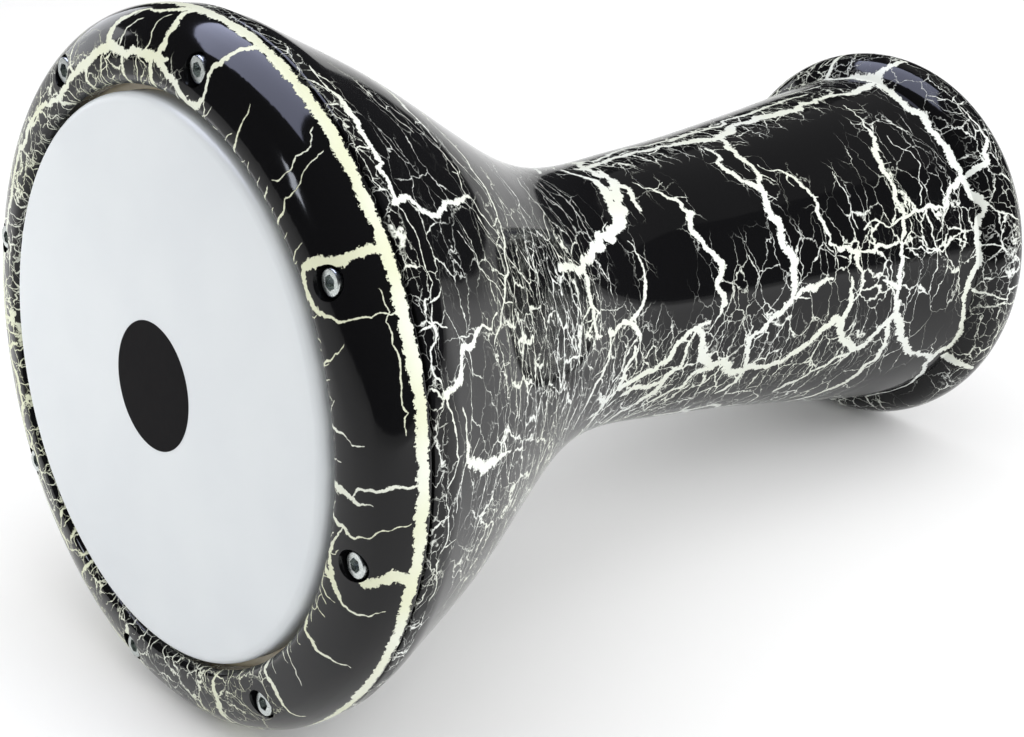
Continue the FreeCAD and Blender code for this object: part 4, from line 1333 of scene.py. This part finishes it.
def screw_tree():
    tree, given, out = new_tree("Cap screw", Section="Object", Sides="Int", Finish="Material",
                                Socket_Radius="Float",
                                Socket_Floor="Float", Socket_Top="Float", Bolt_Circle="Float", Angle="Float")
    body = swept(tree, given["Section"], given["Sides"])
    hexagon = plug(tree, given["Socket Radius"], given["Socket Floor"], given["Socket Top"], 6)
    rise = add(tree, "ShaderNodeCombineXYZ", {"Z": given["Socket Floor"]}).outputs[0]
    placed = add(tree, "GeometryNodeTransform", {"Geometry": hexagon, "Translation": rise}).outputs[0]
    cut = drilled(tree, body, placed)
    out_to = add(tree, "ShaderNodeCombineXYZ", {"X": given["Bolt Circle"]}).outputs[0]
    turn = add(tree, "ShaderNodeCombineXYZ", {"Z": given["Angle"]}).outputs[0]
    moved = add(tree, "GeometryNodeTransform", {"Geometry": cut, "Translation": out_to}).outputs[0]
    round_drum = add(tree, "GeometryNodeTransform", {"Geometry": moved, "Rotation": turn}).outputs[0]
    finish_tree(tree, round_drum, given["Finish"], out[0])
    return tree


screw_section = ([(CENTRE_HOLE, BOLT_TIP), (BOLT_RADIUS - 0.5, BOLT_TIP), (BOLT_RADIUS, BOLT_TIP + 0.5),
                  (BOLT_RADIUS, WASHER_TOP),
                  (BOLT_HEAD, WASHER_TOP)] + straight((BOLT_HEAD, WASHER_TOP + 0.01),
                                                      (BOLT_HEAD, BOLT_FACE - 0.6), 3)
                 + round_about((BOLT_HEAD - 0.6, BOLT_FACE - 0.6), 0.6, 0, 90,
                               0.15) + [(BOLT_HEAD - 0.6, BOLT_FACE), (CENTRE_HOLE, BOLT_FACE)])
screw_wire = section_object("screw_section", screw_section)
cap_screw = screw_tree()
for number in range(1, BOLT_COUNT + 1):
    screw = grow("cap_screw_%d" % number, cap_screw, Section=screw_wire, Sides=48, Finish=zinc,
                 Socket_Radius=SOCKET_WIDTH / math.sqrt(3) * MM, Socket_Floor=(BOLT_FACE - SOCKET_DEPTH) * MM,
                 Socket_Top=(BOLT_FACE + 1) * MM, Bolt_Circle=BOLT_CIRCLE * MM,
                 Angle=FIRST_BOLT + math.tau * (number - 1) / BOLT_COUNT)
    screw.data.shade_smooth()
    screw.data.set_sharp_from_angle(angle=math.radians(32))
    lay(screw)
    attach(screw, "bolt_%d" % number)
    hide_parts("tuning_bolt_%d" % number)
print("each screw has", len(screw.data.polygons), "faces")

# %% [markdown]
# A washer is a flat ring with its upper edge broken. Eight of them lie still in the ring, so one
# mesh holds them all and Instance on Points puts them in place.

# %% A tree for the washers
WASHER_RADIUS, WASHER_BORE = 5.5, 3.2


def washer_tree():
    tree, given, out = new_tree("Washers", Section="Object", Sides="Int", Finish="Material", Count="Int",
                                Bolt_Circle="Float",
                                First_Angle="Float")
    one = swept(tree, given["Section"], given["Sides"])
    copies = on_circle(tree, one, given["Count"], given["Bolt Circle"], given["First Angle"], 0.0)
    finish_tree(tree, copies, given["Finish"], out[0])
    return tree


washer_section = [(WASHER_BORE, WASHER_UNDER), (WASHER_RADIUS, WASHER_UNDER),
                  (WASHER_RADIUS, WASHER_TOP - 0.15),
                  (WASHER_RADIUS - 0.15, WASHER_TOP), (WASHER_BORE, WASHER_TOP)]
washer_wire = section_object("washer_section", washer_section)
washers = grow("washers", washer_tree(), Section=washer_wire, Sides=48, Finish=plain_steel, Count=BOLT_COUNT,
               Bolt_Circle=BOLT_CIRCLE * MM, First_Angle=FIRST_BOLT)
washers.data.shade_smooth()
washers.data.set_sharp_from_angle(angle=math.radians(32))
lay(washers)
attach(washers, "ring_assembly")
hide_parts(*["washer_%d" % n for n in range(1, BOLT_COUNT + 1)])
for wire in (shell_wire, ring_wire, core_section, screw_wire, washer_wire):
    bpy.data.objects.remove(wire)
print("washers:", len(washers.data.polygons), "faces in one mesh")

# %% [markdown]
# ## What stays from the CAD
#
# The steel hoop, the resin in it and the brass inserts have the right shape already and hardly
# show, so they keep their CAD meshes and only get a finish.

# %% Dress the CAD nodes
def dress(node, finish):
    mesh = frame["nodes"][node].data
    mesh.materials.clear()
    mesh.materials.append(finish)


dress("head_hoop", hoop_steel)
dress("hoop_resin", cast_resin())
for number in range(1, BOLT_COUNT + 1):
    dress("threaded_insert_%d" % number, brass)

# %% [markdown]
# ## Floor, light and camera
#
# Black gloss shows its surroundings more than itself, so what is seen in the gloss and what lights
# the dull faces are set apart here. The floor is a wide pale plane, which also gives the soft grey
# sheen on the drum's lower half.

# %% The floor
def floor_finish():
    material, tree, shader = new_material("Pale floor")
    shader["Base Color"].default_value = (0.90, 0.90, 0.905, 1)
    shader["Roughness"].default_value = 0.9
    shader["Specular IOR Level"].default_value = 0.1
    return material


FLOOR_WIDTH = 60           # metres
bpy.ops.mesh.primitive_plane_add(size=FLOOR_WIDTH)
floor = bpy.context.object
floor.name = "floor"
floor.data.materials.append(floor_finish())

# %% [markdown]
# Four boxes are seen only in the gloss: a wide one above and behind for the top of the tube, a cool
# one overhead that lies on the ring, a low one at the left for the ring's upper left, and a small
# one in front for a thin streak. The other four only light dull faces: the key overhead, two that
# lift the floor, and one at the left of the head. Between the boxes the studio stays dark in the
# gloss, so the lacquer can be black.

# %% The boxes of light
TARGET = Vector((0, 0, 0.14))


def softbox(name, towards, distance, size, power, colour, for_gloss):
    """A rectangular light seen from this direction, either only in the gloss or only by what is dull."""
    lamp = bpy.data.lights.new(name, "AREA")
    lamp.shape = "RECTANGLE"
    lamp.size, lamp.size_y = size
    lamp.energy, lamp.color = power, colour
    place = bpy.data.objects.new(name, lamp)
    scene.collection.objects.link(place)
    place.location = TARGET + Vector(towards).normalized() * distance
    place.rotation_euler = (TARGET - place.location).to_track_quat("-Z", "Y").to_euler()
    place.visible_diffuse, place.visible_glossy = not for_gloss, for_gloss
    return place


softbox("sheen_above_behind", (-0.1, 0.75, 0.72), 2.4, (2.6, 1.2), 1.5, (1.0, 0.99, 0.98), True)
softbox("sheen_overhead", (-0.40, -0.04, 0.9), 2.2, (2.0, 1.9), 70, (0.70, 0.74, 1.0), True)
softbox("sheen_left_low", (-1.0, -0.08, 0.15), 2.2, (1.6, 0.55), 5.2, (0.94, 0.96, 1.0), True)
softbox("sheen_front", (-0.30, -0.89, 0.33), 1.5, (0.10, 0.16), 0.7, (0.85, 0.9, 1.0), True)
softbox("key_overhead", (-0.15, -0.10, 0.95), 3.0, (3.4, 3.4), 26, (0.99, 0.99, 1.0), False)
softbox("floor_behind", (0.62, 0.70, 0.75), 3.0, (3.2, 3.2), 44, (1.0, 1.0, 1.0), False)
softbox("floor_right", (1.0, 0.15, 0.6), 2.5, (2.2, 2.2), 28, (1.0, 1.0, 1.0), False)
softbox("head_left", (-0.75, -0.80, 0.35), 0.85, (0.5, 0.5), 2.4, (1.0, 1.0, 1.0), False)

# The studio's walls light the drum and the floor evenly, but stay dark in the gloss.
world = bpy.data.worlds.new("Studio")
scene.world = world
world.use_nodes = True
world.node_tree.nodes.clear()
glossy = add(world.node_tree, "ShaderNodeLightPath").outputs["Is Glossy Ray"]
pale = add(world.node_tree, "ShaderNodeBackground", {"Color": (0.97, 0.97, 0.96, 1), "Strength": 0.68})
dark = add(world.node_tree, "ShaderNodeBackground", {"Color": (0.03, 0.03, 0.033, 1), "Strength": 1.0})
both = add(world.node_tree, "ShaderNodeMixShader", {0: glossy, 1: pale.outputs[0], 2: dark.outputs[0]})
add(world.node_tree, "ShaderNodeOutputWorld", {"Surface": both.outputs[0]})

# %% [markdown]
# The camera stands at the head end, a little above the drum, and looks down along it. Its lens is
# long for how near it stands, and it is shifted so that the drum fills the picture.

# %% The camera
CAMERA_PLACE, CAMERA_LOOKS = (0.57109, -0.51965, 0.45459), (-0.66139, 0.57974, -0.47601)
SENSOR, LENS, SHIFT = 36.0, 65.04, (-0.0286, 0.0832)
camera_data = bpy.data.cameras.new("camera")
camera = bpy.data.objects.new("camera", camera_data)
scene.collection.objects.link(camera)
camera.location = CAMERA_PLACE
camera.rotation_euler = Vector(CAMERA_LOOKS).to_track_quat("-Z", "Y").to_euler()
camera_data.sensor_width, camera_data.lens = SENSOR, LENS
camera_data.shift_x, camera_data.shift_y = SHIFT
camera_data.clip_start, camera_data.clip_end = 0.01, 200
scene.view_settings.view_transform = "Standard"
scene.view_settings.look = "None"
bpy.context.scene.camera = camera
